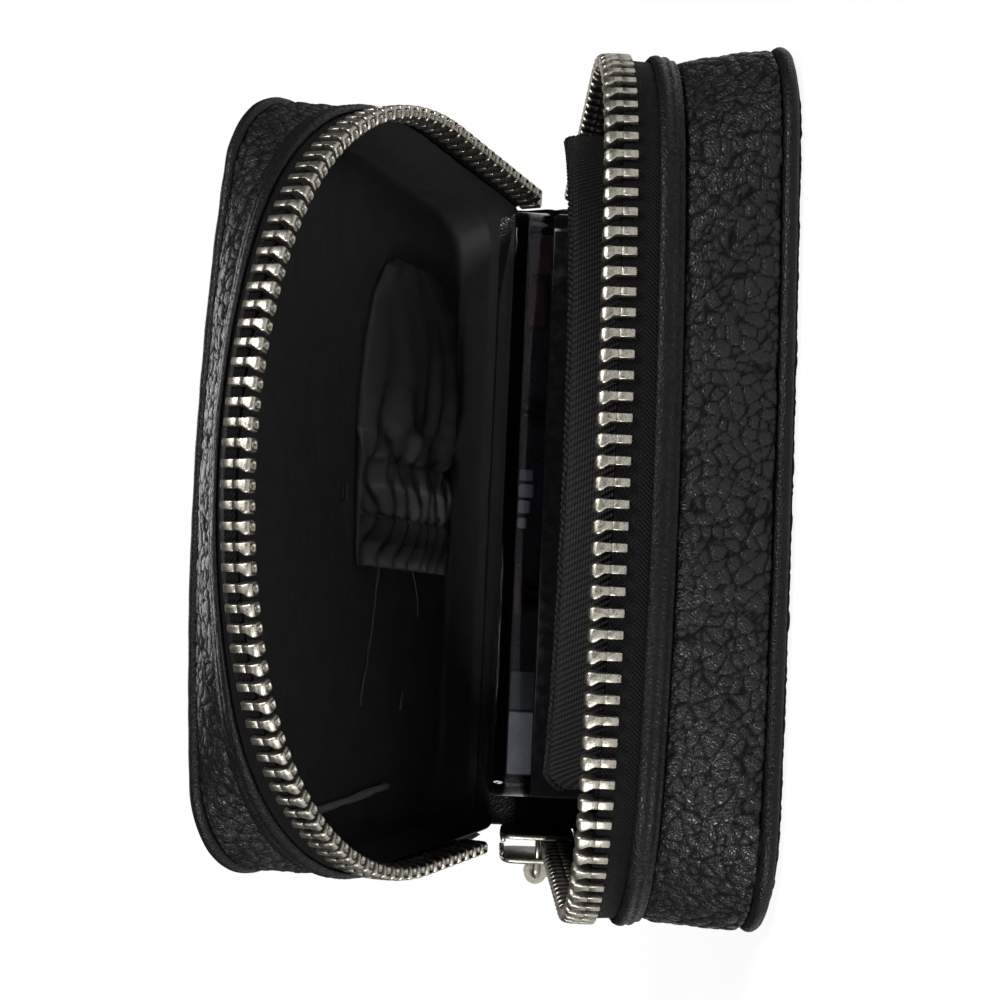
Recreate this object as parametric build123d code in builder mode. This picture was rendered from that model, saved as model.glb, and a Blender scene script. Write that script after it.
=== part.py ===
"""Zip-round makeup organizer case, its lid part open, with a covered insert tray inside.

Millimetres. X runs along the case, Y from the near rim (-) to the hinge (+), Z up from the rest
face. Each shell is drawn in a local frame on the hinge line: y is 0 at the hinge line and negative
towards the near rim, and a depth is counted from the parting plane into that shell.
"""

import os
from math import atan2, cos, degrees, pi, radians, sin, sqrt

from build123d import *

# Overall sizes of the closed case
case_depth = 84.0
base_height = 24.5
lid_height = 19.6
lid_rest_angle = 28.0

# Outlines: a bowed near side, rounded near corners, and ends that taper towards the hinge
rim_half = 55.4
end_taper = 5.0
taper_from_near = 34.0
far_inset = 0.6
rim_far_radius = 3.0
base_bow_radius = 161.0
base_corner_radius = 25.6
lid_bow_radius = 68.0
lid_corner_radius = 45.0
panel_in = 1.4
panel_corner_radius = 15.0
base_panel_bow_radius = 600.0
lid_panel_bow_radius = 300.0
base_panel_inset = 1.0
lid_panel_inset = 12.8

# Leather, board, lining and trim
leather = 1.5
board = 1.2
lining = 0.6
layer_gap = 0.1
wall = 1.4
gusset_crown = 0.5
gusset_shoulder = 0.4
piping_radius = 1.0
binding_width = 3.2
binding_thick = 0.9
binding_crown = 0.4
tape_thick = 0.6
spine_half = 44.0
spine_roll_radius = 1.3
seam_gap = 0.1

# Zip chain
pitch = 2.5
tooth_width = 1.25
tooth_length = 4.1
tooth_thick = 2.3
tooth_nib = 0.4
tooth_nib_low = 1.0
tooth_nib_high = 0.3
tooth_neck = 1.5
tooth_chamfer = 0.12
tooth_slot = 1.8
head_gap = 0.5
tape_showing = 2.5
chain_end = 4.6
stop_length = 1.4
row_to_lining = 1.6

# Slider and its pull
slider_length = 10.0
slider_park = 9.0
slider_plate = 1.0
slider_clear = 0.25
slider_flange = 0.75
slider_post = 0.7
slider_post_length = 1.6
slider_post_set_back = 1.0
slider_shoulder = 2.0
slider_mouth_rise = 1.2
slider_heel_rise = 0.9
crown_radius = 0.7
crown_rise = 1.9
crown_half = 3.0
pull_fit = 0.08
pull_length = 22.0
pull_width = 5.0
pull_thick = 1.2
pull_neck = 4.4
pull_shoulder = 7.7
pull_neck_width = 2.5
pull_hole_radius = 1.25
pull_eye_radius = 1.7
pull_eye_width = 2.5
body_clear = 0.3

# Standing woven collar inside the base rim
collar_rise = 2.4
collar_thick = 1.2
collar_corner = 3.6
collar_from_rim = 3.2
collar_low_x = -36.0
collar_high_x = 42.0

# Insert tray with a clear cover
insert_low_x = -40.5
insert_high_x = 33.9
insert_near = 18.0
insert_far = 6.0
insert_top = 28.9
insert_wall = 1.6
insert_corner = 3.0
cover_height = 4.9
cover_wall = 1.5
cover_top = 1.7
notch = 0.8
divider = 1.0
divider_height = 23.2
pan_depth = 3.4
pan_wall = 0.8
pan_gap = 0.8
powder_below_rim = 0.7
near_pans = 3
knuckle_radius = 1.5
knuckle_length = 8.0
knuckle_spread = 26.0
pin_radius = 0.6
pin_fit = 0.05

# Gathered pocket on the lid's lining
pocket_low_x = -3.0
pocket_high_x = 42.0
pocket_near = 36.0
pocket_far = 5.0
pocket_folds = 8
pocket_seam_thick = 1.0
pocket_mouth_thick = 2.2
pocket_seam_fold = 0.3
pocket_mouth_fold = 1.1
ruffle_length = 6.0
ruffle_fold = 1.4
elastic_radius = 0.6

# Places that follow from the sizes
hinge_y = case_depth / 2
panel_half = rim_half - panel_in
taper = radians(end_taper)
waist_y = taper_from_near - case_depth
tooth_root = head_gap + tooth_length
tape_edge = head_gap + tooth_length - tooth_slot
binding_low = tooth_root + tape_showing
binding_high = binding_low + binding_width
lining_rim = tooth_root + row_to_lining
base_plane = Plane(origin=(0, hinge_y, base_height))
floor_plane = Plane(origin=(0, hinge_y, 0))
tilt = radians(lid_rest_angle)
lid_plane = Plane(origin=(0, hinge_y, base_height), x_dir=(1, 0, 0), z_dir=(0, sin(tilt), cos(tilt)))
end_normal = Vector(cos(taper), sin(taper))

os.makedirs("parts", exist_ok=True)


def save(piece, label):
    """Labels a finished piece and writes it under its own name."""
    piece.part.label = label
    export_step(piece.part, f"parts/{label}.step")


def flipped(point):
    """The same point at the other end of the case."""
    return Vector(-point.X, point.Y)


class Loop:
    """A closed outline, symmetric in X, that can be drawn any distance further out or in."""

    def __init__(self, inset, half, bow, corner, far_corner):
        self.inset, self.half, self.bow, self.corner, self.far_corner = inset, half, bow, corner, far_corner
        side = cos(taper) * half + sin(taper) * waist_y
        bow_y = inset - case_depth + bow
        across = side - corner - sin(taper) * bow_y
        back = sqrt(max((bow - corner) ** 2 - across**2, 0))
        self.bow_centre = Vector(0, bow_y)
        self.corner_centre = Vector(
            cos(taper) * across + sin(taper) * back, bow_y + sin(taper) * across - cos(taper) * back
        )
        far_y = -far_inset - far_corner
        self.far_centre = Vector((side - far_corner - sin(taper) * far_y) / cos(taper), far_y)
        self.bow_way = (self.corner_centre - self.bow_centre).normalized()

    def blend(self, other, share):
        """The outline a share of the way to another one; bows mix by their curvature."""
        return Loop(
            self.inset + (other.inset - self.inset) * share,
            self.half + (other.half - self.half) * share,
            1 / (1 / self.bow + (1 / other.bow - 1 / self.bow) * share),
            self.corner + (other.corner - self.corner) * share,
            self.far_corner + (other.far_corner - self.far_corner) * share,
        )

    def edges(self, grow):
        """Draws the outline's arcs and lines in the BuildLine that is open."""
        start = self.bow_centre + self.bow_way * (self.bow + grow)
        corner_mid = self.corner_centre + (self.bow_way + end_normal).normalized() * (self.corner + grow)
        end_near = self.corner_centre + end_normal * (self.corner + grow)
        end_far = self.far_centre + end_normal * (self.far_corner + grow)
        far_mid = self.far_centre + (end_normal + Vector(0, 1)).normalized() * (self.far_corner + grow)
        far_end = self.far_centre + Vector(0, self.far_corner + grow)
        ThreePointArc(flipped(start), (0, self.inset - case_depth - grow), start)
        ThreePointArc(start, corner_mid, end_near)
        Line(end_near, end_far)
        ThreePointArc(end_far, far_mid, far_end)
        Line(far_end, flipped(far_end))
        ThreePointArc(flipped(far_end), flipped(far_mid), flipped(end_far))
        Line(flipped(end_far), flipped(end_near))
        ThreePointArc(flipped(end_near), flipped(corner_mid), flipped(start))

    def section(self, plane, grow):
        """The outline as a filled face on a plane."""
        with BuildSketch(plane) as drawn:
            with BuildLine():
                self.edges(grow)
            make_face()
        return drawn.sketch

    def at(self, run):
        """Place and turn at a run along the outline from the middle of its near side."""
        side, run = (1 if run >= 0 else -1), abs(run)
        bow_turn = atan2(self.bow_way.X, -self.bow_way.Y)
        corner_turn = pi / 2 + taper - bow_turn
        bow_run, corner_run = self.bow * bow_turn, self.corner * corner_turn
        if run < bow_run:
            turn = run / self.bow
            spot = self.bow_centre + Vector(sin(turn), -cos(turn)) * self.bow
        elif run < bow_run + corner_run:
            turn = bow_turn + (run - bow_run) / self.corner
            spot = self.corner_centre + Vector(sin(turn), -cos(turn)) * self.corner
        else:
            turn = pi / 2 + taper
            along = run - bow_run - corner_run
            spot = self.corner_centre + end_normal * self.corner + Vector(-sin(taper), cos(taper)) * along
        return side * spot.X, spot.Y, side * degrees(turn)


class Shell:
    """The base or the lid: its frame, which way its depth goes, and its outline at each depth."""

    def __init__(self, name, plane, way, height, rim, panel, lean_from):
        self.name, self.plane, self.way, self.height = name, plane, way, height
        self.rim, self.panel, self.lean_from = rim, panel, lean_from
        self.piping_depth = height - leather - layer_gap * 2
        self.gusset_end = self.piping_depth - piping_radius - layer_gap / 2
        self.board_top = height - leather - layer_gap - board
        self.lining_back = self.board_top - layer_gap

    def wall_depths(self):
        """Depths at which the side wall and its lining are drawn."""
        low, high = binding_high + layer_gap / 2, self.gusset_end
        return [low + (high - low) * share for share in (0, 0.2, 0.5, 0.8, 1)]

    def loop(self, depth):
        share = (depth - self.lean_from) / (self.piping_depth - self.lean_from)
        return self.rim.blend(self.panel, min(max(share, 0), 1))

    def level(self, depth):
        return self.plane.offset(self.way * depth)

    def solid(self, steps, mode=Mode.ADD):
        """A body through the outlines at (depth, grow) steps."""
        loft([self.loop(depth).section(self.level(depth), grow) for depth, grow in steps], ruled=True, mode=mode)

    def ring(self, steps):
        """A closed wall through (depth, outer grow, inner grow) steps."""
        self.solid([(depth, outer) for depth, outer, _ in steps])
        self.solid([(depth, inner) for depth, _, inner in steps], Mode.SUBTRACT)

    def plate(self, depth_from, depth_to, grow):
        """A flat layer between two depths, on the panel's outline."""
        low, high = sorted((self.way * depth_from, self.way * depth_to))
        extrude(self.panel.section(self.plane.offset(low), grow), amount=high - low, dir=self.plane.z_dir)

    def trim_far(self, far_y):
        """Takes away what lies between a line and the hinge."""
        cut = Plane(self.plane.from_local_coords((0, far_y, 0)), z_dir=self.plane.y_dir)
        split(bisect_by=cut, keep=Keep.BOTTOM)

    def spine_block(self, half, mode):
        """The block behind the far corners that holds the spine."""
        with Locations((0, -case_depth / 8 + spine_roll_radius, 0)):
            Box(2 * half, case_depth / 4, 4 * self.height, mode=mode)


base = Shell(
    "base",
    base_plane,
    -1,
    base_height,
    Loop(0, rim_half, base_bow_radius, base_corner_radius, rim_far_radius),
    Loop(base_panel_inset, panel_half, base_panel_bow_radius, panel_corner_radius, panel_corner_radius),
    binding_high,
)
lid = Shell(
    "lid",
    lid_plane,
    1,
    lid_height,
    Loop(0, rim_half, lid_bow_radius, lid_corner_radius, rim_far_radius),
    Loop(lid_panel_inset, panel_half, lid_panel_bow_radius, panel_corner_radius, panel_corner_radius),
    tooth_root,
)


def make_panel(shell):
    """Outer leather panel, its edge rounded over."""
    with BuildPart(shell.plane) as panel:
        shell.plate(shell.height - leather, shell.height, -2 * piping_radius)
        layers = panel.faces().sort_by(Axis(shell.plane.origin, shell.plane.z_dir))
        fillet(layers[-1 if shell.way > 0 else 0].edges(), leather / 3)
    save(panel, f"{shell.name}_panel")


def make_board(shell):
    """Stiff board between the panel and the lining."""
    with BuildPart(shell.plane) as stiffener:
        shell.plate(shell.board_top, shell.board_top + board, -2 * piping_radius - layer_gap)
    save(stiffener, f"{shell.name}_board")


def make_piping(shell):
    """Covered cord sewn in where the panel meets the gusset."""
    with BuildPart(shell.plane) as piping:
        seam = shell.panel.section(shell.level(shell.piping_depth), layer_gap - piping_radius)
        for run in seam.faces()[0].outer_wire().edges():
            with BuildSketch(Plane(run @ 0, z_dir=run % 0)) as cord:
                Circle(piping_radius)
            sweep(cord.sketch, path=run)
    save(piping, f"{shell.name}_piping")


def make_gusset(shell):
    """Soft leather side wall, crowned a little, open where the spine stands."""
    crown = (-seam_gap, gusset_shoulder, gusset_crown, gusset_shoulder, -seam_gap)
    with BuildPart(shell.plane) as gusset:
        shell.ring([(depth, grow, -wall) for depth, grow in zip(shell.wall_depths(), crown)])
        shell.spine_block(spine_half + seam_gap, Mode.SUBTRACT)
    save(gusset, f"{shell.name}_gusset")


def binding_depths():
    """Depths at which the binding and the tape behind it are drawn."""
    return [binding_low + binding_width * share for share in (0, 0.25, 0.5, 0.75, 1)]


def make_binding(shell):
    """Rolled leather strip that holds the zip tape, with a ridge along its middle."""
    inner = tape_thick / 2 + layer_gap
    proud = inner + binding_thick
    edge = inner + binding_thick / 2
    with BuildPart(shell.plane) as binding:
        rolled = (edge, proud, proud - binding_crown, proud, edge)
        shell.ring([(depth, grow, inner) for depth, grow in zip(binding_depths(), rolled)])
        shell.trim_far(-chain_end)
    save(binding, f"{shell.name}_binding")


def make_tape(shell, cut_low_end):
    """Woven zip tape; its edge stands in the teeth's slots."""
    half = tape_thick / 2
    depths = [tape_edge + layer_gap / 2, tooth_root] + binding_depths()
    with BuildPart(shell.plane) as tape:
        shell.ring([(depth, half, -half) for depth in depths])
        shell.trim_far(stop_length - chain_end)
        if cut_low_end:
            with Locations((-rim_half, -slider_park, 0)):
                Box(rim_half, slider_length + 2 * body_clear, 2 * binding_low, mode=Mode.SUBTRACT)
    save(tape, f"{shell.name}_tape")


def make_lining(shell):
    """Thin cloth liner: the floor and the wall up to the zip tape."""
    tuck = tape_thick / 2 + layer_gap
    step = binding_high - binding_thick
    back = -wall - layer_gap
    lower = [depth for depth in reversed(shell.wall_depths()) if depth < shell.lining_back]
    with BuildPart(shell.plane) as liner:
        steps = [(shell.lining_back, back)] + [(depth, back) for depth in lower]
        shell.solid(steps + [(step, -tuck), (lining_rim, -tuck)])
        steps = [(shell.lining_back - lining, back - lining)] + [
            (depth, back - lining) for depth in lower if depth < shell.lining_back - lining
        ]
        shell.solid(steps + [(step, -tuck - lining), (lining_rim, -tuck - lining)], Mode.SUBTRACT)
        far_y = -far_inset + back
        span = 2 * spine_half + 2 * seam_gap
        rim_mid = shell.way * binding_high / 2
        with Locations((0, far_y + wall, rim_mid)):
            Box(span, 2 * wall, binding_high + layer_gap, mode=Mode.SUBTRACT)
        with Locations((0, far_y - lining / 2, shell.way * (lining_rim + binding_high + wall) / 2)):
            Box(span, lining, binding_high + wall - lining_rim)
    save(liner, f"{shell.name}_lining")


def make_spine(shell, roll):
    """Leather far wall; the base's ends in the rolled fold that the lid turns about."""
    top = 0 if roll else body_clear
    with BuildPart(shell.plane) as spine:
        steps = [top, shell.lean_from, binding_high + layer_gap / 2, shell.gusset_end]
        shell.ring([(depth, 0, -wall) for depth in sorted(set(steps))])
        shell.spine_block(spine_half, Mode.INTERSECT)
        with Locations(Location((0, 0, 0), (0, 90, 0))):
            if roll:
                Cylinder(spine_roll_radius, 2 * spine_half)
            else:
                Cylinder(spine_roll_radius + body_clear, 3 * spine_half, mode=Mode.SUBTRACT)
    save(spine, f"{shell.name}_spine")


def chain_places(shell, shift, low_end, high_end):
    """Places of the teeth along the rim, as far as each end of the chain goes."""
    places = []
    for side, end in ((1, high_end), (-1, low_end)):
        step = 0 if side > 0 else 1
        x, y, turn = shell.rim.at(shift)
        while y < -end:
            x, y, turn = shell.rim.at(shift + side * step * pitch)
            if y < -end:
                depth = shell.way * tooth_root
                flip = 0 if shell.way < 0 else 180
                places.append(Location((x, y, depth)) * Location((0, 0, 0), (0, 0, turn)) * Rot(flip, 0, 0))
            step += 1
    return places


def make_teeth(shell, shift, low_end):
    """Separate cast teeth, each clamped over the tape's edge, with a nib beside its head."""
    half = tooth_width / 2
    with BuildPart() as tooth:
        with BuildSketch(Plane.XZ):
            with BuildLine():
                Polyline(
                    (half, 0),
                    (-half, 0),
                    (-half, tooth_length - tooth_neck),
                    (-half - tooth_nib, tooth_length - tooth_nib_low),
                    (-half - tooth_nib, tooth_length - tooth_nib_high),
                    (tooth_chamfer - half, tooth_length),
                    (half, tooth_length),
                    close=True,
                )
            make_face()
        extrude(amount=tooth_thick / 2, both=True)
        with Locations((0, 0, tooth_slot / 2)):
            Box(2 * tooth_width, tape_thick + layer_gap, tooth_slot, mode=Mode.SUBTRACT)
    with BuildPart(shell.plane) as teeth:
        with Locations(*chain_places(shell, shift, low_end, chain_end)):
            add(tooth.part)
    save(teeth, f"{shell.name}_teeth")
    return len(teeth.solids())


def make_stops(shell, ends):
    """Plain metal stops pinched over the tape past the last teeth."""
    with BuildPart(shell.plane) as stops:
        for side, end_y in ends:
            along = (end_y - shell.rim.corner_centre.Y - end_normal.Y * shell.rim.corner) / cos(taper)
            spot = shell.rim.corner_centre + end_normal * shell.rim.corner + Vector(-sin(taper), cos(taper)) * along
            mid = shell.way * (tape_edge + tooth_root) / 2
            with Locations(Location((side * spot.X, spot.Y, mid), (0, 0, side * end_taper))):
                Box(tooth_thick, stop_length, tooth_root - head_gap * 2)
                Box(tape_thick + 2 * layer_gap, 2 * stop_length, 2 * tooth_root, mode=Mode.SUBTRACT)
                with Locations((0, 0, -shell.way * (tooth_root / 2 - head_gap - stop_length / 4))):
                    Box(tooth_thick, stop_length, stop_length / 2)
    save(stops, f"{shell.name}_stops")


def make_collar():
    """Ribbed collar standing inside the base rim; its plan follows the lid's rim, which closes round it."""
    top, foot = -collar_rise, base.lining_back - lining
    plan = Loop(0, rim_half, lid_bow_radius, lid_corner_radius, panel_corner_radius)
    with BuildPart(base_plane) as collar:
        for grow, mode in ((-collar_from_rim, Mode.ADD), (-collar_from_rim - collar_thick, Mode.SUBTRACT)):
            extrude(plan.section(base_plane.offset(-foot), grow), amount=foot - top, dir=(0, 0, 1), mode=mode)
        with BuildSketch(Plane.XZ) as front:
            with Locations(((collar_low_x + collar_high_x) / 2, base_height + collar_rise - foot)):
                RectangleRounded(collar_high_x - collar_low_x, 2 * foot, collar_corner)
        extrude(front.sketch, amount=case_depth, dir=(0, -1, 0), mode=Mode.INTERSECT)
    save(collar, "base_collar")


def insert_block(low, high, shrink, mode=Mode.ADD):
    """A rounded block on the insert's outline, between two heights."""
    middle = (insert_low_x + insert_high_x) / 2
    mid_y = (insert_near - case_depth - insert_far) / 2
    with BuildSketch(floor_plane.offset(low)) as outline:
        with Locations((middle, mid_y)):
            RectangleRounded(
                insert_high_x - insert_low_x - 2 * shrink,
                case_depth - insert_near - insert_far - 2 * shrink,
                max(insert_corner - shrink, insert_corner / 4),
            )
    extrude(outline.sketch, amount=high - low, dir=(0, 0, 1), mode=mode)


def hinge_knuckles(start, side, root_z):
    """Bored barrels on the insert's far edge, each on a short web."""
    centre_y = -insert_far + knuckle_radius + layer_gap
    for x in (-knuckle_spread / 2, knuckle_spread / 2):
        with Locations((start + x, -insert_far + knuckle_radius / 2, root_z + side * knuckle_radius / 2)):
            Box(knuckle_length, knuckle_radius + 2 * layer_gap, knuckle_radius)
        with Locations(Location((start + x, centre_y, insert_top), (0, 90, 0))):
            Cylinder(knuckle_radius, knuckle_length)
            Cylinder(pin_radius + pin_fit, 2 * knuckle_length, mode=Mode.SUBTRACT)


def make_insert():
    """Black tray, its divider, the pans and their powder, the clear cover and the hinge pin."""
    floor_top = base_height - base.lining_back + lining
    tray_floor = floor_top + layer_gap
    middle = (insert_low_x + insert_high_x) / 2
    inside_x = insert_high_x - insert_low_x - 2 * insert_wall
    inside_near = insert_near + insert_wall - case_depth
    inside_far = -insert_far - insert_wall
    cover_low = insert_top + layer_gap / 2

    with BuildPart(floor_plane) as tray:
        insert_block(tray_floor, insert_top, 0)
        insert_block(tray_floor + insert_wall, insert_top, insert_wall, Mode.SUBTRACT)
        end_edges = tray.edges().filter_by(Axis.Y).group_by(Axis.X)[-1]
        chamfer(end_edges.group_by(Axis.Z)[-1], notch)
        hinge_knuckles(middle - knuckle_length / 2, -1, insert_top)
    save(tray, "insert_tray")

    with BuildPart(floor_plane) as crate:
        foot = tray_floor + insert_wall
        row_y = (inside_near + inside_far) / 2
        inner_x = inside_x - 2 * layer_gap
        inner_y = inside_far - inside_near - 2 * layer_gap
        with Locations((middle, row_y, foot + divider_height / 2)):
            Box(inner_x, divider, divider_height)
            Box(divider, inner_y, divider_height)
        for side in (-1, 1):
            with Locations((middle + side * inner_x / near_pans, row_y - inner_y / 4, foot + divider_height / 2)):
                Box(divider, inner_y / 2, divider_height)
    save(crate, "insert_divider")

    pan_x = (inside_x - (near_pans + 1) * pan_gap) / near_pans
    pan_y = (inside_far - inside_near) / 2 - 2 * pan_gap
    pan_low = tray_floor + insert_wall + divider_height + layer_gap / 2
    spots = [
        (middle + (n - (near_pans - 1) / 2) * (pan_x + pan_gap), inside_near + pan_gap + pan_y / 2)
        for n in range(near_pans)
    ]
    with BuildPart(floor_plane) as pans:
        for shrink, low, mode in ((0, pan_low, Mode.ADD), (pan_wall, pan_low + pan_wall, Mode.SUBTRACT)):
            with BuildSketch(floor_plane.offset(low)):
                with Locations(*spots):
                    RectangleRounded(pan_x - 2 * shrink, pan_y - 2 * shrink, insert_corner - shrink)
            extrude(amount=pan_low + pan_depth - low, mode=mode)
    save(pans, "insert_pans")

    with BuildPart(floor_plane) as powder:
        shrink = pan_wall + layer_gap / 2
        with BuildSketch(floor_plane.offset(pan_low + pan_wall + layer_gap / 2)):
            with Locations(*spots):
                RectangleRounded(pan_x - 2 * shrink, pan_y - 2 * shrink, insert_corner - shrink)
        extrude(amount=pan_depth - pan_wall - powder_below_rim)
    save(powder, "insert_powder")

    with BuildPart(floor_plane) as cover:
        insert_block(cover_low, insert_top + cover_height, 0)
        insert_block(cover_low, insert_top + cover_height - cover_top, cover_wall, Mode.SUBTRACT)
        end_edges = cover.edges().filter_by(Axis.Y).group_by(Axis.X)[-1]
        chamfer(end_edges.group_by(Axis.Z)[0], notch)
        hinge_knuckles(middle + knuckle_length / 2 + layer_gap, 1, cover_low)
    save(cover, "insert_cover")

    with BuildPart(floor_plane) as pin:
        centre_y = -insert_far + knuckle_radius + layer_gap
        with Locations(Location((middle, centre_y, insert_top), (0, 90, 0))):
            Cylinder(pin_radius, knuckle_spread + 2 * knuckle_length)
    save(pin, "insert_hinge_pin")


def folded_section(x, thick, fold):
    """A slab's section against the lid's lining, its free side in even round folds."""
    back = lid.lining_back - lining - layer_gap
    width = (pocket_near - pocket_far) / (2 * pocket_folds)
    across = Plane(lid_plane.from_local_coords((x, 0, 0)), x_dir=lid_plane.y_dir, z_dir=lid_plane.x_dir)
    with BuildSketch(across) as section:
        with BuildLine():
            for n in range(2 * pocket_folds):
                near = -pocket_near + n * width
                bulge = fold if n % 2 else -fold
                ThreePointArc(
                    (near, back - thick),
                    (near + width / 2, back - thick + bulge / 2),
                    (near + width, back - thick),
                )
            Polyline((-pocket_far, back - thick), (-pocket_far, back), (-pocket_near, back), (-pocket_near, back - thick))
        make_face()
    return section.sketch


def make_pocket():
    """Gathered cloth pocket: its folds, the elastic that draws the mouth in, and the ruffle past it."""
    with BuildPart() as pocket:
        loft(
            [
                folded_section(pocket_high_x, pocket_seam_thick, pocket_seam_fold),
                folded_section((pocket_low_x + pocket_high_x) / 2, pocket_mouth_thick, pocket_mouth_fold),
                folded_section(pocket_low_x + elastic_radius + layer_gap, pocket_seam_thick, pocket_seam_fold),
            ],
            ruled=True,
        )
    save(pocket, "lid_pocket")

    back = lid.lining_back - lining - layer_gap
    with BuildPart(lid_plane) as elastic:
        middle = -(pocket_near + pocket_far) / 2
        with Locations(Location((pocket_low_x, middle, back - elastic_radius), (90, 0, 0))):
            Cylinder(elastic_radius, pocket_near - pocket_far)
    save(elastic, "lid_pocket_elastic")

    with BuildPart() as ruffle:
        loft(
            [
                folded_section(pocket_low_x - elastic_radius - layer_gap, pocket_seam_thick, pocket_seam_fold),
                folded_section(pocket_low_x - ruffle_length, pocket_mouth_thick, ruffle_fold),
            ],
            ruled=True,
        )
    save(ruffle, "lid_pocket_ruffle")


def slider_frame():
    """Frame of the parked slider: x along its travel, y up, z out of the case."""
    side = base.rim.corner_centre + end_normal * base.rim.corner
    along = (-slider_park - side.Y) / cos(taper)
    spot = side + Vector(-sin(taper), cos(taper)) * along
    origin = base_plane.from_local_coords((-spot.X, spot.Y, 0))
    return Plane(origin, x_dir=(-sin(taper), -cos(taper), 0), z_dir=(-cos(taper), sin(taper), 0))


def make_slider():
    """Cast slider round both rows, with a crown bar, and the pull that swings on the bar."""
    plane = slider_frame()
    inner = tooth_thick / 2 + slider_clear
    outer = inner + slider_plate
    reach = tooth_root + slider_clear + slider_flange
    flange_half = slider_length / 2 - slider_shoulder
    axis_z = outer + crown_rise
    with BuildPart(plane) as slider:
        for low in (inner, -outer):
            with BuildSketch(plane.offset(low)):
                with BuildLine():
                    Polyline(
                        (-slider_length / 2, reach - slider_mouth_rise),
                        (-flange_half, reach),
                        (flange_half, reach),
                        (slider_length / 2, reach - slider_heel_rise),
                        (slider_length / 2, slider_heel_rise - reach),
                        (flange_half, -reach),
                        (-flange_half, -reach),
                        (-slider_length / 2, slider_mouth_rise - reach),
                        close=True,
                    )
                make_face()
            extrude(amount=slider_plate)
        slit = tape_thick / 2 + body_clear
        lip = inner - slit
        for up in (-1, 1):
            for out in (-1, 1):
                with Locations((0, up * (reach - slider_flange / 2), out * (slit + lip / 2))):
                    Box(2 * flange_half, slider_flange, lip)
        with Locations((slider_length / 2 - slider_post_set_back, 0, 0)):
            Box(slider_post_length, slider_post, 2 * inner)
        for end in (-1, 1):
            with Locations((end * crown_half, 0, outer + crown_rise / 2)):
                Box(2 * crown_radius, 2 * crown_radius, crown_rise)
        with Locations(Location((0, 0, axis_z), (0, 90, 0))):
            Cylinder(crown_radius, 2 * (crown_half + crown_radius))
    save(slider, "slider_body")

    with BuildPart(plane) as pull:
        with Locations(Location((0, 0, axis_z), (0, 90, 0))):
            Cylinder(pull_eye_radius, pull_eye_width)
        with BuildSketch(plane.offset(axis_z - pull_thick / 2)):
            with BuildLine():
                neck = pull_neck_width / 2
                tip = pull_length - pull_width / 2
                Polyline((-neck, 0), (-neck, -pull_neck), (-pull_width / 2, -pull_shoulder))
                Line((-pull_width / 2, -pull_shoulder), (-pull_width / 2, -tip))
                ThreePointArc((-pull_width / 2, -tip), (0, -pull_length), (pull_width / 2, -tip))
                Polyline(
                    (pull_width / 2, -tip),
                    (pull_width / 2, -pull_shoulder),
                    (neck, -pull_neck),
                    (neck, 0),
                    (-neck, 0),
                )
            make_face()
            with Locations((0, -tip)):
                Circle(pull_hole_radius, mode=Mode.SUBTRACT)
        extrude(amount=pull_thick)
        with Locations(Location((0, 0, axis_z), (0, 90, 0))):
            Cylinder(crown_radius + pull_fit, 2 * pull_width, mode=Mode.SUBTRACT)
    save(pull, "pull_tab")
    return plane, axis_z


for shell in (base, lid):
    make_panel(shell)
    make_board(shell)
    make_piping(shell)
    make_gusset(shell)
    make_binding(shell)
    make_lining(shell)
slider_end = slider_park + slider_length / 2 + body_clear
make_tape(base, False)
make_tape(lid, True)
make_spine(base, True)
make_spine(lid, False)
base_count = make_teeth(base, 0, chain_end)
lid_count = make_teeth(lid, pitch / 2, slider_end)
make_stops(base, [(1, -chain_end + stop_length), (-1, -chain_end + stop_length)])
make_stops(lid, [(1, -chain_end + stop_length)])
make_collar()
make_insert()
make_pocket()
slider_plane, pull_axis = make_slider()

print("teeth", base_count, lid_count)
print("slider origin", slider_plane.origin, "travel", slider_plane.x_dir, "out", slider_plane.z_dir)
print("pull axis at", slider_plane.from_local_coords((0, 0, pull_axis)))
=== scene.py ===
"""Dresses the zip-round makeup organizer case: grained leather shells with a metal zip, its lid part
open, a covered insert tray in the base, and a gathered pocket on the lid's lining.

Sizes are millimetres until a mesh is made. A shell's own frame has x along the case, y from the
hinge line (0) to the near rim (negative), and a depth from the parting plane into that shell.
"""

from math import atan2, cos, pi, radians, sin, sqrt

import bmesh
import bpy
import numpy as np
from bpy.props import FloatProperty, FloatVectorProperty, PointerProperty
from mathutils import Matrix, Vector, noise


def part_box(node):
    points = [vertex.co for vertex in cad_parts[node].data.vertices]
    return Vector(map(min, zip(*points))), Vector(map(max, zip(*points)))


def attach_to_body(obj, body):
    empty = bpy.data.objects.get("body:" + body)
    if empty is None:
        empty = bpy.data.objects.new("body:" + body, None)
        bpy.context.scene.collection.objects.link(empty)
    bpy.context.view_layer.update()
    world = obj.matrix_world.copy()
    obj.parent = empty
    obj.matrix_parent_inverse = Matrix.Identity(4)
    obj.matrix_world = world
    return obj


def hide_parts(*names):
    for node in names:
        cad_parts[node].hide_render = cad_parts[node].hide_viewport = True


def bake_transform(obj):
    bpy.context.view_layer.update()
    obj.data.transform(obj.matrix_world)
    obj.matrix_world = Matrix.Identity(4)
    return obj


bl_info = {
    "name": "Makeup organizer case",
    "version": (1, 0, 0),
    "blender": (4, 5, 0),
    "location": "View3D > Sidebar > Case",
    "description": "Leather, zip, lining and insert of a zip-round organizer case",
    "category": "Object",
}

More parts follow.
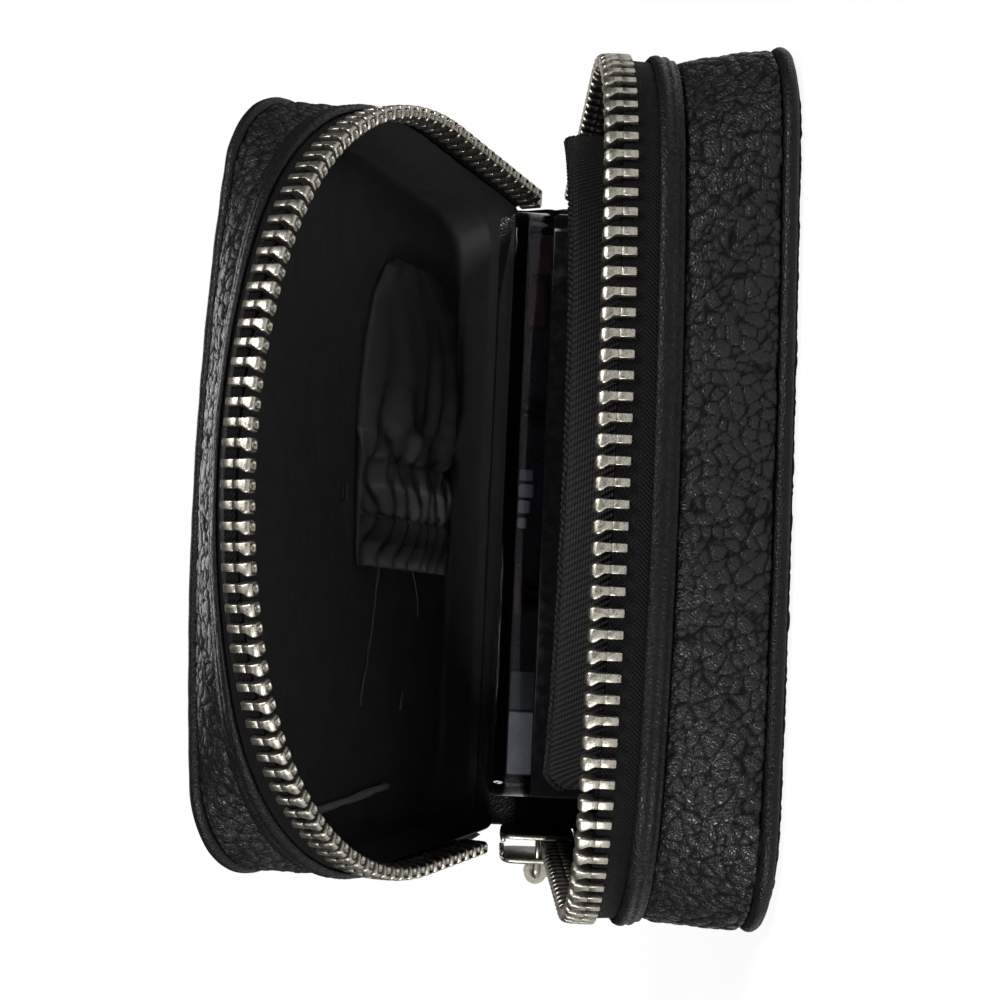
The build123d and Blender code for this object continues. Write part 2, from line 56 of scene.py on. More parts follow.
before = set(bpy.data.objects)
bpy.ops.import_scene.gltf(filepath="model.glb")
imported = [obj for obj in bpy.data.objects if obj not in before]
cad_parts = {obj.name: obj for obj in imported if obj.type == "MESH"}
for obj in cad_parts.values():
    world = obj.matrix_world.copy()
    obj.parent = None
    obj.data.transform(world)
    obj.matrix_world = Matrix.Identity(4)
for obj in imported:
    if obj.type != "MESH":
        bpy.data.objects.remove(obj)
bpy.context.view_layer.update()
MM = 0.001

# Shape of the two shells, in millimetres
CASE_DEPTH = 84.0
BASE_HEIGHT = 24.5
LID_HEIGHT = 19.6
LID_ANGLE = radians(28)
END_TAPER = radians(5)
WAIST_Y = 34.0 - CASE_DEPTH
FAR_INSET = 0.6
RIM_HALF = 55.4
PANEL_HALF = 54.0
RIM_FAR_CORNER = 3.0
PANEL_CORNER = 15.0
PIPING_RADIUS = 1.0
LEATHER = 1.5
GUSSET_WALL = 1.4
GUSSET_CROWN = 0.5
BINDING_TOP = 7.1
BINDING_FOOT = 10.3
TAPE_EDGE = 2.8
CHAIN_END = 4.6
STOP_LENGTH = 1.4
SLIDER_END = 14.3
SPINE_HALF = 44.0
SPINE_RIM_HALF = 50.0
TOOTH_ROOT = 4.6
TOOTH_PITCH = 2.5
LINING_RIM = 6.2
SLIDER_PARK = 9.0
SLIDER_LENGTH = 10.0
SLIDER_REACH = 5.6
SLIDER_GAP = 1.4
SLIDER_PLATE = 1.0
SLIDER_SLIT = 0.6
SLIDER_LIP = 0.75
CROWN_RISE = 1.9
CROWN_HALF = 3.0
CROWN_RADIUS = 0.7
COVER_WIDTH = 60.0
COVER_RIM = 28.95
TRAY_RIM = 28.9
PIN_SET_OUT = 1.6
BARREL_RADIUS = 1.5
BARREL_BORE = 0.65
COVER_BARRELS = (-12.2, 13.8)
TRAY_BARRELS = (-20.3, 5.7)
COLLAR_LOW_X = -39.5
COLLAR_HIGH_X = 47.0
COLLAR_RISE = 2.4
COLLAR_THICK = 1.2
COLLAR_FROM_RIM = 3.2
GRAIN_SEED = 1
HINGE = Vector((0, CASE_DEPTH / 2, BASE_HEIGHT))


class Outline:
    """A closed outline, symmetric in x: bowed near side, round near corners, tapered ends."""

    def __init__(self, inset, half, bow, corner, far_corner):
        self.values = (inset, half, bow, corner, far_corner)
        self.inset, self.half, self.bow, self.corner, self.far_corner = self.values
        side = cos(END_TAPER) * half + sin(END_TAPER) * WAIST_Y
        bow_y = inset - CASE_DEPTH + bow
        across = side - corner - sin(END_TAPER) * bow_y
        back = sqrt(max((bow - corner) ** 2 - across**2, 0))
        self.bow_centre = np.array((0, bow_y))
        self.corner_centre = np.array(
            (cos(END_TAPER) * across + sin(END_TAPER) * back, bow_y + sin(END_TAPER) * across - cos(END_TAPER) * back)
        )
        far_y = -FAR_INSET - far_corner
        self.far_centre = np.array(((side - far_corner - sin(END_TAPER) * far_y) / cos(END_TAPER), far_y))
        way = self.corner_centre - self.bow_centre
        self.bow_turn = atan2(way[0], -way[1])

    def mixed(self, other, share):
        """The outline a share of the way to another one."""
        mix = [a + (b - a) * share for a, b in zip(self.values, other.values)]
        mix[2] = 1 / (1 / self.bow + (1 / other.bow - 1 / self.bow) * share)
        return Outline(*mix)

    def half_line(self, grow):
        """Points of the right half, from the middle of the near side to the middle of the far side."""

        def arc(centre, radius, start, end, count):
            turns = np.linspace(start, end, count)
            return centre + radius * np.stack([np.sin(turns), -np.cos(turns)], 1)

        end_turn = pi / 2 + END_TAPER
        parts = [
            arc(self.bow_centre, self.bow + grow, 0, self.bow_turn, 60),
            arc(self.corner_centre, self.corner + grow, self.bow_turn, end_turn, 90),
            arc(self.far_centre, max(self.far_corner + grow, 0.05), end_turn, pi, 40),
            np.array([[0, self.far_centre[1] + max(self.far_corner + grow, 0.05)]]),
        ]
        return np.concatenate(parts)

    def at(self, run):
        """Place and turn at a run along the outline from the middle of its near side."""
        side, run = (1 if run >= 0 else -1), abs(run)
        bow_run = self.bow * self.bow_turn
        corner_run = self.corner * (pi / 2 + END_TAPER - self.bow_turn)
        if run < bow_run:
            turn = run / self.bow
            spot = self.bow_centre + self.bow * np.array((sin(turn), -cos(turn)))
        elif run < bow_run + corner_run:
            turn = self.bow_turn + (run - bow_run) / self.corner
            spot = self.corner_centre + self.corner * np.array((sin(turn), -cos(turn)))
        else:
            turn = pi / 2 + END_TAPER
            spot = self.corner_centre + self.corner * np.array((cos(END_TAPER), sin(END_TAPER)))
            spot = spot + (run - bow_run - corner_run) * np.array((-sin(END_TAPER), cos(END_TAPER)))
        return side * spot[0], spot[1], side * turn


class Shell:
    """The base or the lid: where its frame stands, and its outline at each depth."""

    def __init__(self, name, height, rim, panel, lean_from, tilt, way):
        self.name, self.height, self.rim, self.panel, self.lean_from = name, height, rim, panel, lean_from
        self.tilt, self.way = tilt, way
        self.piping_depth = height - LEATHER - 0.2
        self.gusset_end = self.piping_depth - PIPING_RADIUS - 0.05
        self.lining_back = height - LEATHER - 1.4

    def outline(self, depth):
        share = (depth - self.lean_from) / (self.piping_depth - self.lean_from)
        return self.rim.mixed(self.panel, min(max(share, 0), 1))

    def world(self, local):
        """World millimetres of points given as x, y, depth."""
        local = np.asarray(local, float)
        y, up = local[..., 1], local[..., 2] * self.way
        out = np.empty(local.shape)
        out[..., 0] = local[..., 0]
        out[..., 1] = HINGE.y + y * cos(self.tilt) + up * sin(self.tilt)
        out[..., 2] = HINGE.z - y * sin(self.tilt) + up * cos(self.tilt)
        return out


BASE = Shell(
    "base",
    BASE_HEIGHT,
    Outline(0, RIM_HALF, 161.0, 25.6, RIM_FAR_CORNER),
    Outline(1.0, PANEL_HALF, 600.0, PANEL_CORNER, PANEL_CORNER),
    BINDING_FOOT,
    0.0,
    -1,
)
LID = Shell(
    "lid",
    LID_HEIGHT,
    Outline(0, RIM_HALF, 68.0, 45.0, RIM_FAR_CORNER),
    Outline(12.8, PANEL_HALF, 300.0, PANEL_CORNER, PANEL_CORNER),
    TOOTH_ROOT,
    LID_ANGLE,
    1,
)


def resampled(line, count):
    """The polyline's points at even steps."""
    run = np.concatenate([[0], np.cumsum(np.linalg.norm(np.diff(line, axis=0), axis=1))])
    at = np.linspace(0, run[-1], count)
    return np.stack([np.interp(at, run, line[:, k]) for k in range(line.shape[1])], 1)


def cut_line(line, stop_y=None, stop_x=None):
    """The half line up to a y on its end, or up to an x on its far side."""
    if stop_y is not None:
        value, start, target = line[:, 1], 10, stop_y
    else:
        value, start, target = -line[:, 0], int(np.argmax(line[:, 0])), -stop_x
    k = start + int(np.argmax(value[start:] >= target))
    share = (target - value[k - 1]) / (value[k] - value[k - 1])
    return np.concatenate([line[:k], [line[k - 1] + share * (line[k] - line[k - 1])]])


def rim_rows(shell, profile, count, stop_y=None, stop_x=None):
    """Rows of points round the shell for (depth, grow) steps; open where a stop is given."""
    rows = []
    for depth, grow in profile:
        line = shell.outline(depth).half_line(grow)
        if stop_y is not None or stop_x is not None:
            line = cut_line(line, stop_y, stop_x)
        right = resampled(line, count)
        left = right[:0:-1] * (-1, 1)
        if stop_y is None and stop_x is None:
            left = left[1:]
        flat = np.concatenate([left, right])
        rows.append(np.column_stack([flat, np.full(len(flat), depth)]))
    return np.array(rows)


def grid_faces(rows, columns, wrap_rows, wrap_columns):
    """Quads over a grid of points, as index rows."""
    r = np.arange(rows if wrap_rows else rows - 1)
    c = np.arange(columns if wrap_columns else columns - 1)
    r, c = np.meshgrid(r, c, indexing="ij")
    r1, c1 = (r + 1) % rows, (c + 1) % columns
    return np.stack([r * columns + c, r * columns + c1, r1 * columns + c1, r1 * columns + c], -1).reshape(-1, 4)


def filled_outline(edge, step):
    """An even grid of points that fills a closed outline, its quads, and the indices round its rim."""
    low, high = edge.min(0), edge.max(0)
    middle, half = (low + high) / 2, (high - low) / 2
    counts = [int(2 * h / step) for h in half]
    u, v = np.meshgrid(np.linspace(-1, 1, counts[0]), np.linspace(-1, 1, counts[1]), indexing="ij")
    boxed = np.stack([u * half[0], v * half[1]], -1)
    share = np.maximum(np.maximum(np.abs(u), np.abs(v)), 1e-6)
    turn = np.arctan2(boxed[..., 1], boxed[..., 0])
    turns = np.arctan2(*(edge - middle).T[::-1])
    order = np.argsort(turns)
    reach = np.interp(turn, turns[order], np.linalg.norm(edge - middle, axis=1)[order], period=2 * pi)
    rim = np.linalg.norm(boxed, axis=-1) / share
    points = middle + boxed * (1 + (reach / rim - 1) * share**5)[..., None]
    index = np.arange(counts[0] * counts[1]).reshape(counts)
    loop = np.concatenate([index[:-1, 0], index[-1, :-1], index[:0:-1, -1], index[0, :0:-1]])
    return points.reshape(-1, 2), [tuple(f) for f in grid_faces(*counts, False, False)], loop


def mesh_piece(name, points, faces, material, flat_map=None, crease=None):
    """A mesh object from world millimetres and faces, its closed bodies facing outwards.

    crease says how deep each point lies in the grain.
    """
    mesh = bpy.data.meshes.new(name)
    mesh.from_pydata((np.asarray(points).reshape(-1, 3) * MM).tolist(), [], [list(map(int, f)) for f in faces])
    mesh.update()
    if flat_map is not None:
        layer = mesh.uv_layers.new(name="weave")
        loops = np.zeros(len(mesh.loops), np.int32)
        mesh.loops.foreach_get("vertex_index", loops)
        layer.data.foreach_set("uv", np.asarray(flat_map).reshape(-1, 2)[loops].astype(np.float32).ravel())
    if crease is not None:
        mark = mesh.attributes.new("crease", "FLOAT", "POINT")
        mark.data.foreach_set("value", np.asarray(crease, np.float32).ravel())
    mesh.polygons.foreach_set("use_smooth", [True] * len(mesh.polygons))
    body = bmesh.new()
    body.from_mesh(mesh)
    if all(edge.is_manifold for edge in body.edges):
        bmesh.ops.recalc_face_normals(body, faces=body.faces)
        body.to_mesh(mesh)
    body.free()
    piece = bpy.data.objects.new(name, mesh)
    bpy.context.scene.collection.objects.link(piece)
    piece.data.materials.append(material)
    return piece


def normals_of(grid, wrap_columns):
    """Unit normals of a grid of points; the side they point to follows the order of its rows."""
    if wrap_columns:
        along = np.roll(grid, -1, 1) - np.roll(grid, 1, 1)
    else:
        along = np.gradient(grid, axis=1)
    across = np.gradient(grid, axis=0)
    normal = np.cross(along, across)
    length = np.linalg.norm(normal, axis=-1, keepdims=True)
    return normal / np.maximum(length, 1e-9)


def pebbled(points, size, depth, seed=0.0):
    """How far each point sinks for a grain of domed pebbles, and how deep it lies in a crease, 0 to 1."""
    sink, crease = np.empty(len(points)), np.empty(len(points))
    for k, p in enumerate(points):
        spot = Vector(p) / size + Vector((seed, 0, 0))
        spot += noise.noise_vector(spot * 0.6) * 0.45
        near, cells = noise.voronoi(spot)
        edge = near[1] - near[0]
        dome = min(edge * 1.7, 1.0)
        proud = 0.8 + 0.5 * noise.noise(cells[0] * 1.7)
        sink[k] = -depth * (1 - sqrt(dome * (2 - dome)) * proud)
        crease[k] = max(1 - edge * 6.0, 0)
    return sink, crease


def waved(points, size, height, seed=0.0):
    """Soft, long swells, up to a height."""
    return np.array([noise.noise(Vector(p) / size + Vector((0, seed, 0))) * height for p in points])


def closed_strip(name, shell, rows, wrap_columns, material, crease=None):
    """A piece from rows of a closed profile; its open ends are capped."""
    count, columns = rows.shape[:2]
    world = shell.world(rows) if shell else rows
    faces = [tuple(f) for f in grid_faces(count, columns, True, wrap_columns)]
    if not wrap_columns:
        faces.append(tuple(range(0, count * columns, columns))[::-1])
        faces.append(tuple(range(columns - 1, count * columns, columns)))
    run = np.concatenate([[0], np.cumsum(np.linalg.norm(np.diff(world[0], axis=0), axis=1))])
    turn = np.concatenate([[0], np.cumsum(np.linalg.norm(np.diff(world[:, columns // 2], axis=0), axis=1))])
    uv = np.stack(np.meshgrid(run, turn), -1)
    return mesh_piece(name, world, faces, material, uv, crease=crease)


def tube_along(name, path, radius, sides, material, closed, wobble=0.0, seed=0.0):
    """A round tube along world points, its radius a little uneven."""
    path = np.asarray(path, float)
    if closed:
        way = np.roll(path, -1, 0) - np.roll(path, 1, 0)
    else:
        way = np.gradient(path, axis=0)
    way /= np.linalg.norm(way, axis=1, keepdims=True)
    up = np.array((0.013, 0.021, 1.0))
    side = np.cross(way, up)
    side /= np.linalg.norm(side, axis=1, keepdims=True)
    lift = np.cross(side, way)
    turns = np.linspace(0, 2 * pi, sides, endpoint=False)
    size = radius + (waved(path, 3.0, wobble, seed) if wobble else 0)
    size = np.broadcast_to(size, (len(path),))
    rings = (
        path[None] + np.cos(turns)[:, None, None] * side[None] * size[None, :, None]
        + np.sin(turns)[:, None, None] * lift[None] * size[None, :, None]
    )
    faces = [tuple(f) for f in grid_faces(sides, len(path), True, closed)]
    if not closed:
        faces.append(tuple(range(0, sides * len(path), len(path)))[::-1])
        faces.append(tuple(range(len(path) - 1, sides * len(path), len(path))))
    run = np.concatenate([[0], np.cumsum(np.linalg.norm(np.diff(path, axis=0), axis=1))])
    uv = np.stack(np.meshgrid(run, turns * radius), -1)
    return mesh_piece(name, rings, faces, material, uv)


def rounded_ring(low_x, high_x, low_y, high_y, radius, per_corner=6):
    """Points of a rounded rectangle."""
    radius = min(radius, (high_x - low_x) / 2.01, (high_y - low_y) / 2.01)
    points = []
    for k, (x, y) in enumerate(((high_x, high_y), (low_x, high_y), (low_x, low_y), (high_x, low_y))):
        centre = np.array((x - radius if x == high_x else x + radius, y - radius if y == high_y else y + radius))
        for turn in np.linspace(k * pi / 2, (k + 1) * pi / 2, per_corner):
            points.append(centre + radius * np.array((cos(turn), sin(turn))))
    return np.array(points)


def lofted(rings):
    """Points and faces of a body through rings with the same count, capped at both ends."""
    rings = np.asarray(rings)
    count, columns = rings.shape[:2]
    faces = [tuple(f) for f in grid_faces(count, columns, False, True)]
    faces.append(tuple(range(columns))[::-1])
    faces.append(tuple(range((count - 1) * columns, count * columns)))
    return rings.reshape(-1, 3), faces


def many(bodies):
    """Several bodies' points and faces as one."""
    points, faces, start = [], [], 0
    for body_points, body_faces in bodies:
        points.append(body_points)
        faces += [tuple(start + int(k) for k in f) for f in body_faces]
        start += len(body_points)
    return np.concatenate(points), faces


# ---------------------------------------------------------------- materials


def node_group(name, inputs, outputs):
    """An empty shader node group with named sockets, and its two end nodes."""
    group = bpy.data.node_groups.new(name, "ShaderNodeTree")
    for label, kind, default in inputs:
        socket = group.interface.new_socket(name=label, in_out="INPUT", socket_type=kind)
        if default is not None:
            socket.default_value = default
    for label, kind in outputs:
        group.interface.new_socket(name=label, in_out="OUTPUT", socket_type=kind)
    return group, group.nodes.new("NodeGroupInput"), group.nodes.new("NodeGroupOutput")


def math_node(tree, operation, first, second=None, third=None, clamp=False):
    """One Math node with its inputs linked or set."""
    node = tree.nodes.new("ShaderNodeMath")
    node.operation, node.use_clamp = operation, clamp
    for k, value in enumerate((first, second, third)):
        if value is None:
            continue
        if isinstance(value, (int, float)):
            node.inputs[k].default_value = value
        else:
            tree.links.new(value, node.inputs[k])
    return node.outputs[0]


def ramp(tree, value, low, high, to_low, to_high):
    """A value carried from one range to another."""
    node = tree.nodes.new("ShaderNodeMapRange")
    node.inputs["From Min"].default_value, node.inputs["From Max"].default_value = low, high
    node.inputs["To Min"].default_value, node.inputs["To Max"].default_value = to_low, to_high
    tree.links.new(value, node.inputs["Value"])
    return node.outputs["Result"]


def noise_of(tree, vector, scale, detail=3.0, rough=0.5):
    node = tree.nodes.new("ShaderNodeTexNoise")
    if isinstance(scale, (int, float)):
        node.inputs["Scale"].default_value = scale
    else:
        tree.links.new(scale, node.inputs["Scale"])
    node.inputs["Detail"].default_value, node.inputs["Roughness"].default_value = detail, rough
    tree.links.new(vector, node.inputs["Vector"])
    return node.outputs["Fac"]


def make_fine_grain():
    """Small creases and pores inside the leather's pebbles."""
    group, start, end = node_group(
        "fine_grain",
        [("Vector", "NodeSocketVector", None), ("Scale", "NodeSocketFloat", 1400.0)],
        [("Height", "NodeSocketFloat"), ("Tops", "NodeSocketFloat")],
    )
    cells = group.nodes.new("ShaderNodeTexVoronoi")
    cells.feature = "DISTANCE_TO_EDGE"
    group.links.new(start.outputs["Vector"], cells.inputs["Vector"])
    group.links.new(start.outputs["Scale"], cells.inputs["Scale"])
    tops = ramp(group, cells.outputs["Distance"], 0.0, 0.22, 0.0, 1.0)
    pores = noise_of(group, start.outputs["Vector"], start.outputs["Scale"], 4.0, 0.6)
    height = math_node(group, "MULTIPLY_ADD", pores, 0.5, tops)
    group.links.new(height, end.inputs["Height"])
    group.links.new(tops, end.inputs["Tops"])
    return group


def make_twill():
    """Diagonal ribs of a woven tape; the slant turns over at each band for a herringbone."""
    group, start, end = node_group(
        "twill",
        [
            ("Map", "NodeSocketVector", None),
            ("Pitch", "NodeSocketFloat", 0.5),
            ("Band", "NodeSocketFloat", 1.4),
            ("Slant", "NodeSocketFloat", 1.0),
        ],
        [("Height", "NodeSocketFloat"), ("Ribs", "NodeSocketFloat")],
    )
    split = group.nodes.new("ShaderNodeSeparateXYZ")
    group.links.new(start.outputs["Map"], split.inputs[0])
    fold = math_node(group, "PINGPONG", split.outputs["Y"], start.outputs["Band"])
    lean = math_node(group, "MULTIPLY", fold, start.outputs["Slant"])
    along = math_node(group, "ADD", split.outputs["X"], lean)
    turns = math_node(group, "DIVIDE", along, start.outputs["Pitch"])
    wave = math_node(group, "SINE", math_node(group, "MULTIPLY", turns, 2 * pi))
    ribs = ramp(group, wave, -1.0, 1.0, 0.0, 1.0)
    cross = math_node(group, "SINE", math_node(group, "MULTIPLY", split.outputs["Y"], 2 * pi / 0.32))
    height = math_node(group, "MULTIPLY_ADD", cross, 0.18, ribs)
    group.links.new(height, end.inputs["Height"])
    group.links.new(ribs, end.inputs["Ribs"])
    return group


def make_wear():
    """A soft blotchy mask for rubbed or dusty places."""
    group, start, end = node_group(
        "wear",
        [("Vector", "NodeSocketVector", None), ("Scale", "NodeSocketFloat", 120.0)],
        [("Mask", "NodeSocketFloat")],
    )
    blotch = noise_of(group, start.outputs["Vector"], start.outputs["Scale"], 5.0, 0.65)
    group.links.new(ramp(group, blotch, 0.42, 0.68, 0.0, 1.0), end.inputs["Mask"])
    return group


def placed(tree, group, vector_socket, vector, **values):
    """A node group in a material, with its own values."""
    node = tree.nodes.new("ShaderNodeGroup")
    node.node_tree = group
    tree.links.new(vector, node.inputs[vector_socket])
    for label, value in values.items():
        node.inputs[label.replace("_", " ").title()].default_value = value
    return node


def new_material(name, **sockets):
    """A material with constants set on its Principled BSDF, and its coordinate nodes."""
    material = bpy.data.materials.new(name)
    material.use_nodes = True
    tree = material.node_tree
    shader = tree.nodes["Principled BSDF"]
    for label, value in sockets.items():
        shader.inputs[label.replace("_", " ").title().replace("Ior", "IOR")].default_value = value
    where = tree.nodes.new("ShaderNodeTexCoord")
    return material, tree, shader, where


def bumped(tree, shader, height, strength, distance):
    """Height through a Bump node into the shader's normal."""
    bump = tree.nodes.new("ShaderNodeBump")
    bump.inputs["Strength"].default_value, bump.inputs["Distance"].default_value = strength, distance
    tree.links.new(height, bump.inputs["Height"])
    tree.links.new(bump.outputs["Normal"], shader.inputs["Normal"])


def tinted(tree, shader, mask, low, high):
    """Base colour between two colours by a mask."""
    mix = tree.nodes.new("ShaderNodeMix")
    mix.data_type = "RGBA"
    mix.inputs["A"].default_value, mix.inputs["B"].default_value = (*low, 1), (*high, 1)
    tree.links.new(mask, mix.inputs["Factor"])
    tree.links.new(mix.outputs["Result"], shader.inputs["Base Color"])


def times(colour, share):
    return tuple(c * share for c in colour)


def leather_material(name, colour, scale, strength, low_rough, high_rough, gloss=0.25):
    """Black leather: fine grain, rubbed tops a little paler and smoother; the creases are dull, and painted darker and
    less glossy as painted shade.
    """
    material, tree, shader, where = new_material(name)
    grain = placed(tree, GROUPS["fine_grain"], "Vector", where.outputs["Object"], scale=scale)
    rub = placed(tree, GROUPS["wear"], "Vector", where.outputs["Object"], scale=140.0)
    deep = tree.nodes.new("ShaderNodeAttribute")
    deep.attribute_name = "crease"
    light = math_node(tree, "MULTIPLY_ADD", rub.outputs["Mask"], 0.35, 0.4)
    # Painted shade: the base colour is darkened in the creases
    light = math_node(tree, "MULTIPLY_ADD", deep.outputs["Fac"], -0.75, light, clamp=True)
    tinted(tree, shader, light, times(colour, 0.4), times(colour, 1.5))
    rough = ramp(tree, grain.outputs["Tops"], 0.0, 1.0, high_rough, low_rough)
    rough = math_node(tree, "MULTIPLY_ADD", deep.outputs["Fac"], 0.5, rough)
    # Painted shade too: the creases get less specular
    tree.links.new(ramp(tree, deep.outputs["Fac"], 0.0, 1.0, gloss, gloss * 0.2), shader.inputs["Specular IOR Level"])
    tree.links.new(rough, shader.inputs["Roughness"])
    bumped(tree, shader, grain.outputs["Height"], strength, 0.00012)
    return material


def woven_material(name, colour, pitch, band, slant, strength, rough):
    """Woven polyester with ribs raised in the weave, painted paler on the ribs and darker between them as painted light
    and shade.
    """
    material, tree, shader, where = new_material(name, specular_ior_level=0.08)
    lie = tree.nodes.new("ShaderNodeUVMap")
    lie.uv_map = "weave"
    ribs = placed(tree, GROUPS["twill"], "Map", lie.outputs["UV"], pitch=pitch, band=band, slant=slant)
    fuzz = placed(tree, GROUPS["wear"], "Vector", where.outputs["Object"], scale=900.0)
    # Painted light and shade: paler on the ribs, darker in the grooves between them
    tinted(tree, shader, ribs.outputs["Ribs"], times(colour, 0.45), times(colour, 1.4))
    tree.links.new(ramp(tree, fuzz.outputs["Mask"], 0.0, 1.0, rough, rough + 0.2), shader.inputs["Roughness"])
    bumped(tree, shader, ribs.outputs["Height"], strength, 0.00015)
    return material


def cloth_material(name, colour, rough):
    """Fine satin lining: thread-fine bump and a soft sheen."""
    material, tree, shader, where = new_material(name, specular_ior_level=0.2)
    threads = noise_of(tree, where.outputs["Object"], 5200.0, 2.0, 0.7)
    patches = placed(tree, GROUPS["wear"], "Vector", where.outputs["Object"], scale=350.0)
    tinted(tree, shader, patches.outputs["Mask"], times(colour, 0.9), times(colour, 1.15))
    tree.links.new(ramp(tree, threads, 0.3, 0.7, rough, rough + 0.15), shader.inputs["Roughness"])
    bumped(tree, shader, threads, 0.25, 0.00006)
    return material


def metal_material(name, colour, rough, pits, worn=0.42):
    """Plated metal with small pits, dark where plating wore and dirt sits."""
    material, tree, shader, where = new_material(name, metallic=1.0)
    blotch = placed(tree, GROUPS["wear"], "Vector", where.outputs["Object"], scale=pits)
    speck = noise_of(tree, where.outputs["Object"], pits * 3.0, 2.0, 0.6)
    dirt = ramp(tree, speck, 0.34, 0.46, 0.0, 1.0)
    tinted(tree, shader, dirt, times(colour, worn), colour)
    spread = math_node(tree, "MULTIPLY_ADD", blotch.outputs["Mask"], 0.12, rough)
    tree.links.new(spread, shader.inputs["Roughness"])
    bumped(tree, shader, speck, 0.35, 0.00008)
    return material


def plastic_material(name, colour, rough, flow=260.0):
    """Moulded plastic: faint flow waviness and fine handling scratches in its gloss."""
    material, tree, shader, where = new_material(name, specular_ior_level=0.06)
    swell = noise_of(tree, where.outputs["Object"], flow, 2.0, 0.4)
    rub = placed(tree, GROUPS["wear"], "Vector", where.outputs["Object"], scale=700.0)
    tinted(tree, shader, rub.outputs["Mask"], colour, times(colour, 1.5))
    tree.links.new(ramp(tree, rub.outputs["Mask"], 0.0, 1.0, rough, rough + 0.09), shader.inputs["Roughness"])
    bumped(tree, shader, swell, 0.03, 0.0001)
    return material


def clear_material(name, colour):
    """Clear moulding: smooth, with faint scuffs in its gloss, and dark where it is looked through edge on."""
    material, tree, shader, where = new_material(
        name, transmission_weight=1.0, ior=1.49, specular_tint=(0.22, 0.22, 0.24, 1)
    )
    scuff = placed(tree, GROUPS["wear"], "Vector", where.outputs["Object"], scale=420.0)
    tinted(tree, shader, scuff.outputs["Mask"], colour, times(colour, 0.94))
    tree.links.new(ramp(tree, scuff.outputs["Mask"], 0.0, 1.0, 0.02, 0.07), shader.inputs["Roughness"])
    smoke = tree.nodes.new("ShaderNodeVolumeAbsorption")
    smoke.inputs["Color"].default_value, smoke.inputs["Density"].default_value = (0.1, 0.12, 0.15, 1), 90.0
    tree.links.new(smoke.outputs["Volume"], tree.nodes["Material Output"].inputs["Volume"])
    return material


def powder_material(name, colour):
    """Pressed powder: chalky, faintly mottled, with a fine grain."""
    material, tree, shader, where = new_material(name, roughness=0.9, specular_ior_level=0.2)
    mottle = placed(tree, GROUPS["wear"], "Vector", where.outputs["Object"], scale=300.0)
    tinted(tree, shader, mottle.outputs["Mask"], times(colour, 0.85), times(colour, 1.1))
    bumped(tree, shader, noise_of(tree, where.outputs["Object"], 4200.0, 3.0, 0.7), 0.4, 0.0001)
    return material


GROUPS = {}
FINISHES = {}


# ---------------------------------------------------------------- settings


class CaseSizes(bpy.types.PropertyGroup):
    """Sizes of the surface forms, in metres."""

    pebble_size: FloatProperty(
        name="Pebble size",
        description="Width of one pebble of the leather's grain",
        default=0.0017, min=0.0005, unit="LENGTH",
    )
    pebble_depth: FloatProperty(
        name="Pebble depth",
        description="Depth of the creases between pebbles",
        default=0.00032, unit="LENGTH",
    )
    leather_swell: FloatProperty(
        name="Leather swell",
        description="Height of the soft dents in the side walls",
        default=0.00045, unit="LENGTH",
    )
    mesh_step: FloatProperty(
        name="Mesh step",
        description="Width of a mesh face on the leather",
        default=0.00024, min=0.0001, unit="LENGTH",
    )
    fold_height: FloatProperty(
        name="Pocket fold height",
        description="Height of the gathers in the lid pocket",
        default=0.0011, unit="LENGTH",
    )
    cord_pitch: FloatProperty(
        name="Cord pitch",
        description="Length of one turn of the collar's twisted cord",
        default=0.0018, unit="LENGTH",
    )
    cord_radius: FloatProperty(
        name="Cord strand radius",
        description="Radius of one strand of the collar's cord",
        default=0.00032, unit="LENGTH",
    )


class CaseColours(bpy.types.PropertyGroup):
    """Colours of the finishes."""

    leather: FloatVectorProperty(
        name="Leather",
        description="Grained leather",
        subtype="COLOR", size=3, min=0, max=1, default=(0.0042, 0.0042, 0.0045),
    )
    binding: FloatVectorProperty(
        name="Binding",
        description="Smoother leather of the binding and piping",
        subtype="COLOR", size=3, min=0, max=1, default=(0.0038, 0.0038, 0.004),
    )
    tape: FloatVectorProperty(
        name="Zip tape",
        description="Woven zip tape",
        subtype="COLOR", size=3, min=0, max=1, default=(0.003, 0.003, 0.0033),
    )
    lining: FloatVectorProperty(
        name="Lining",
        description="Satin lining and pocket",
        subtype="COLOR", size=3, min=0, max=1, default=(0.017, 0.0166, 0.018),
    )
    collar: FloatVectorProperty(
        name="Collar",
        description="Ribbed collar and its cord",
        subtype="COLOR", size=3, min=0, max=1, default=(0.008, 0.008, 0.0088),
    )
    metal: FloatVectorProperty(
        name="Zip metal",
        description="Plated zip teeth and slider",
        subtype="COLOR", size=3, min=0, max=1, default=(0.345, 0.32, 0.275),
    )
    tray: FloatVectorProperty(
        name="Tray",
        description="Glossy black insert tray",
        subtype="COLOR", size=3, min=0, max=1, default=(0.0018, 0.0018, 0.0021),
    )
    cover: FloatVectorProperty(
        name="Cover",
        description="Clear insert cover",
        subtype="COLOR", size=3, min=0, max=1, default=(0.42, 0.43, 0.46),
    )
    pan: FloatVectorProperty(
        name="Pans",
        description="Stamped metal pans",
        subtype="COLOR", size=3, min=0, max=1, default=(0.05, 0.05, 0.053),
    )
    powder: FloatVectorProperty(
        name="Powder",
        description="Pressed powder",
        subtype="COLOR", size=3, min=0, max=1, default=(0.16, 0.075, 0.09),
    )


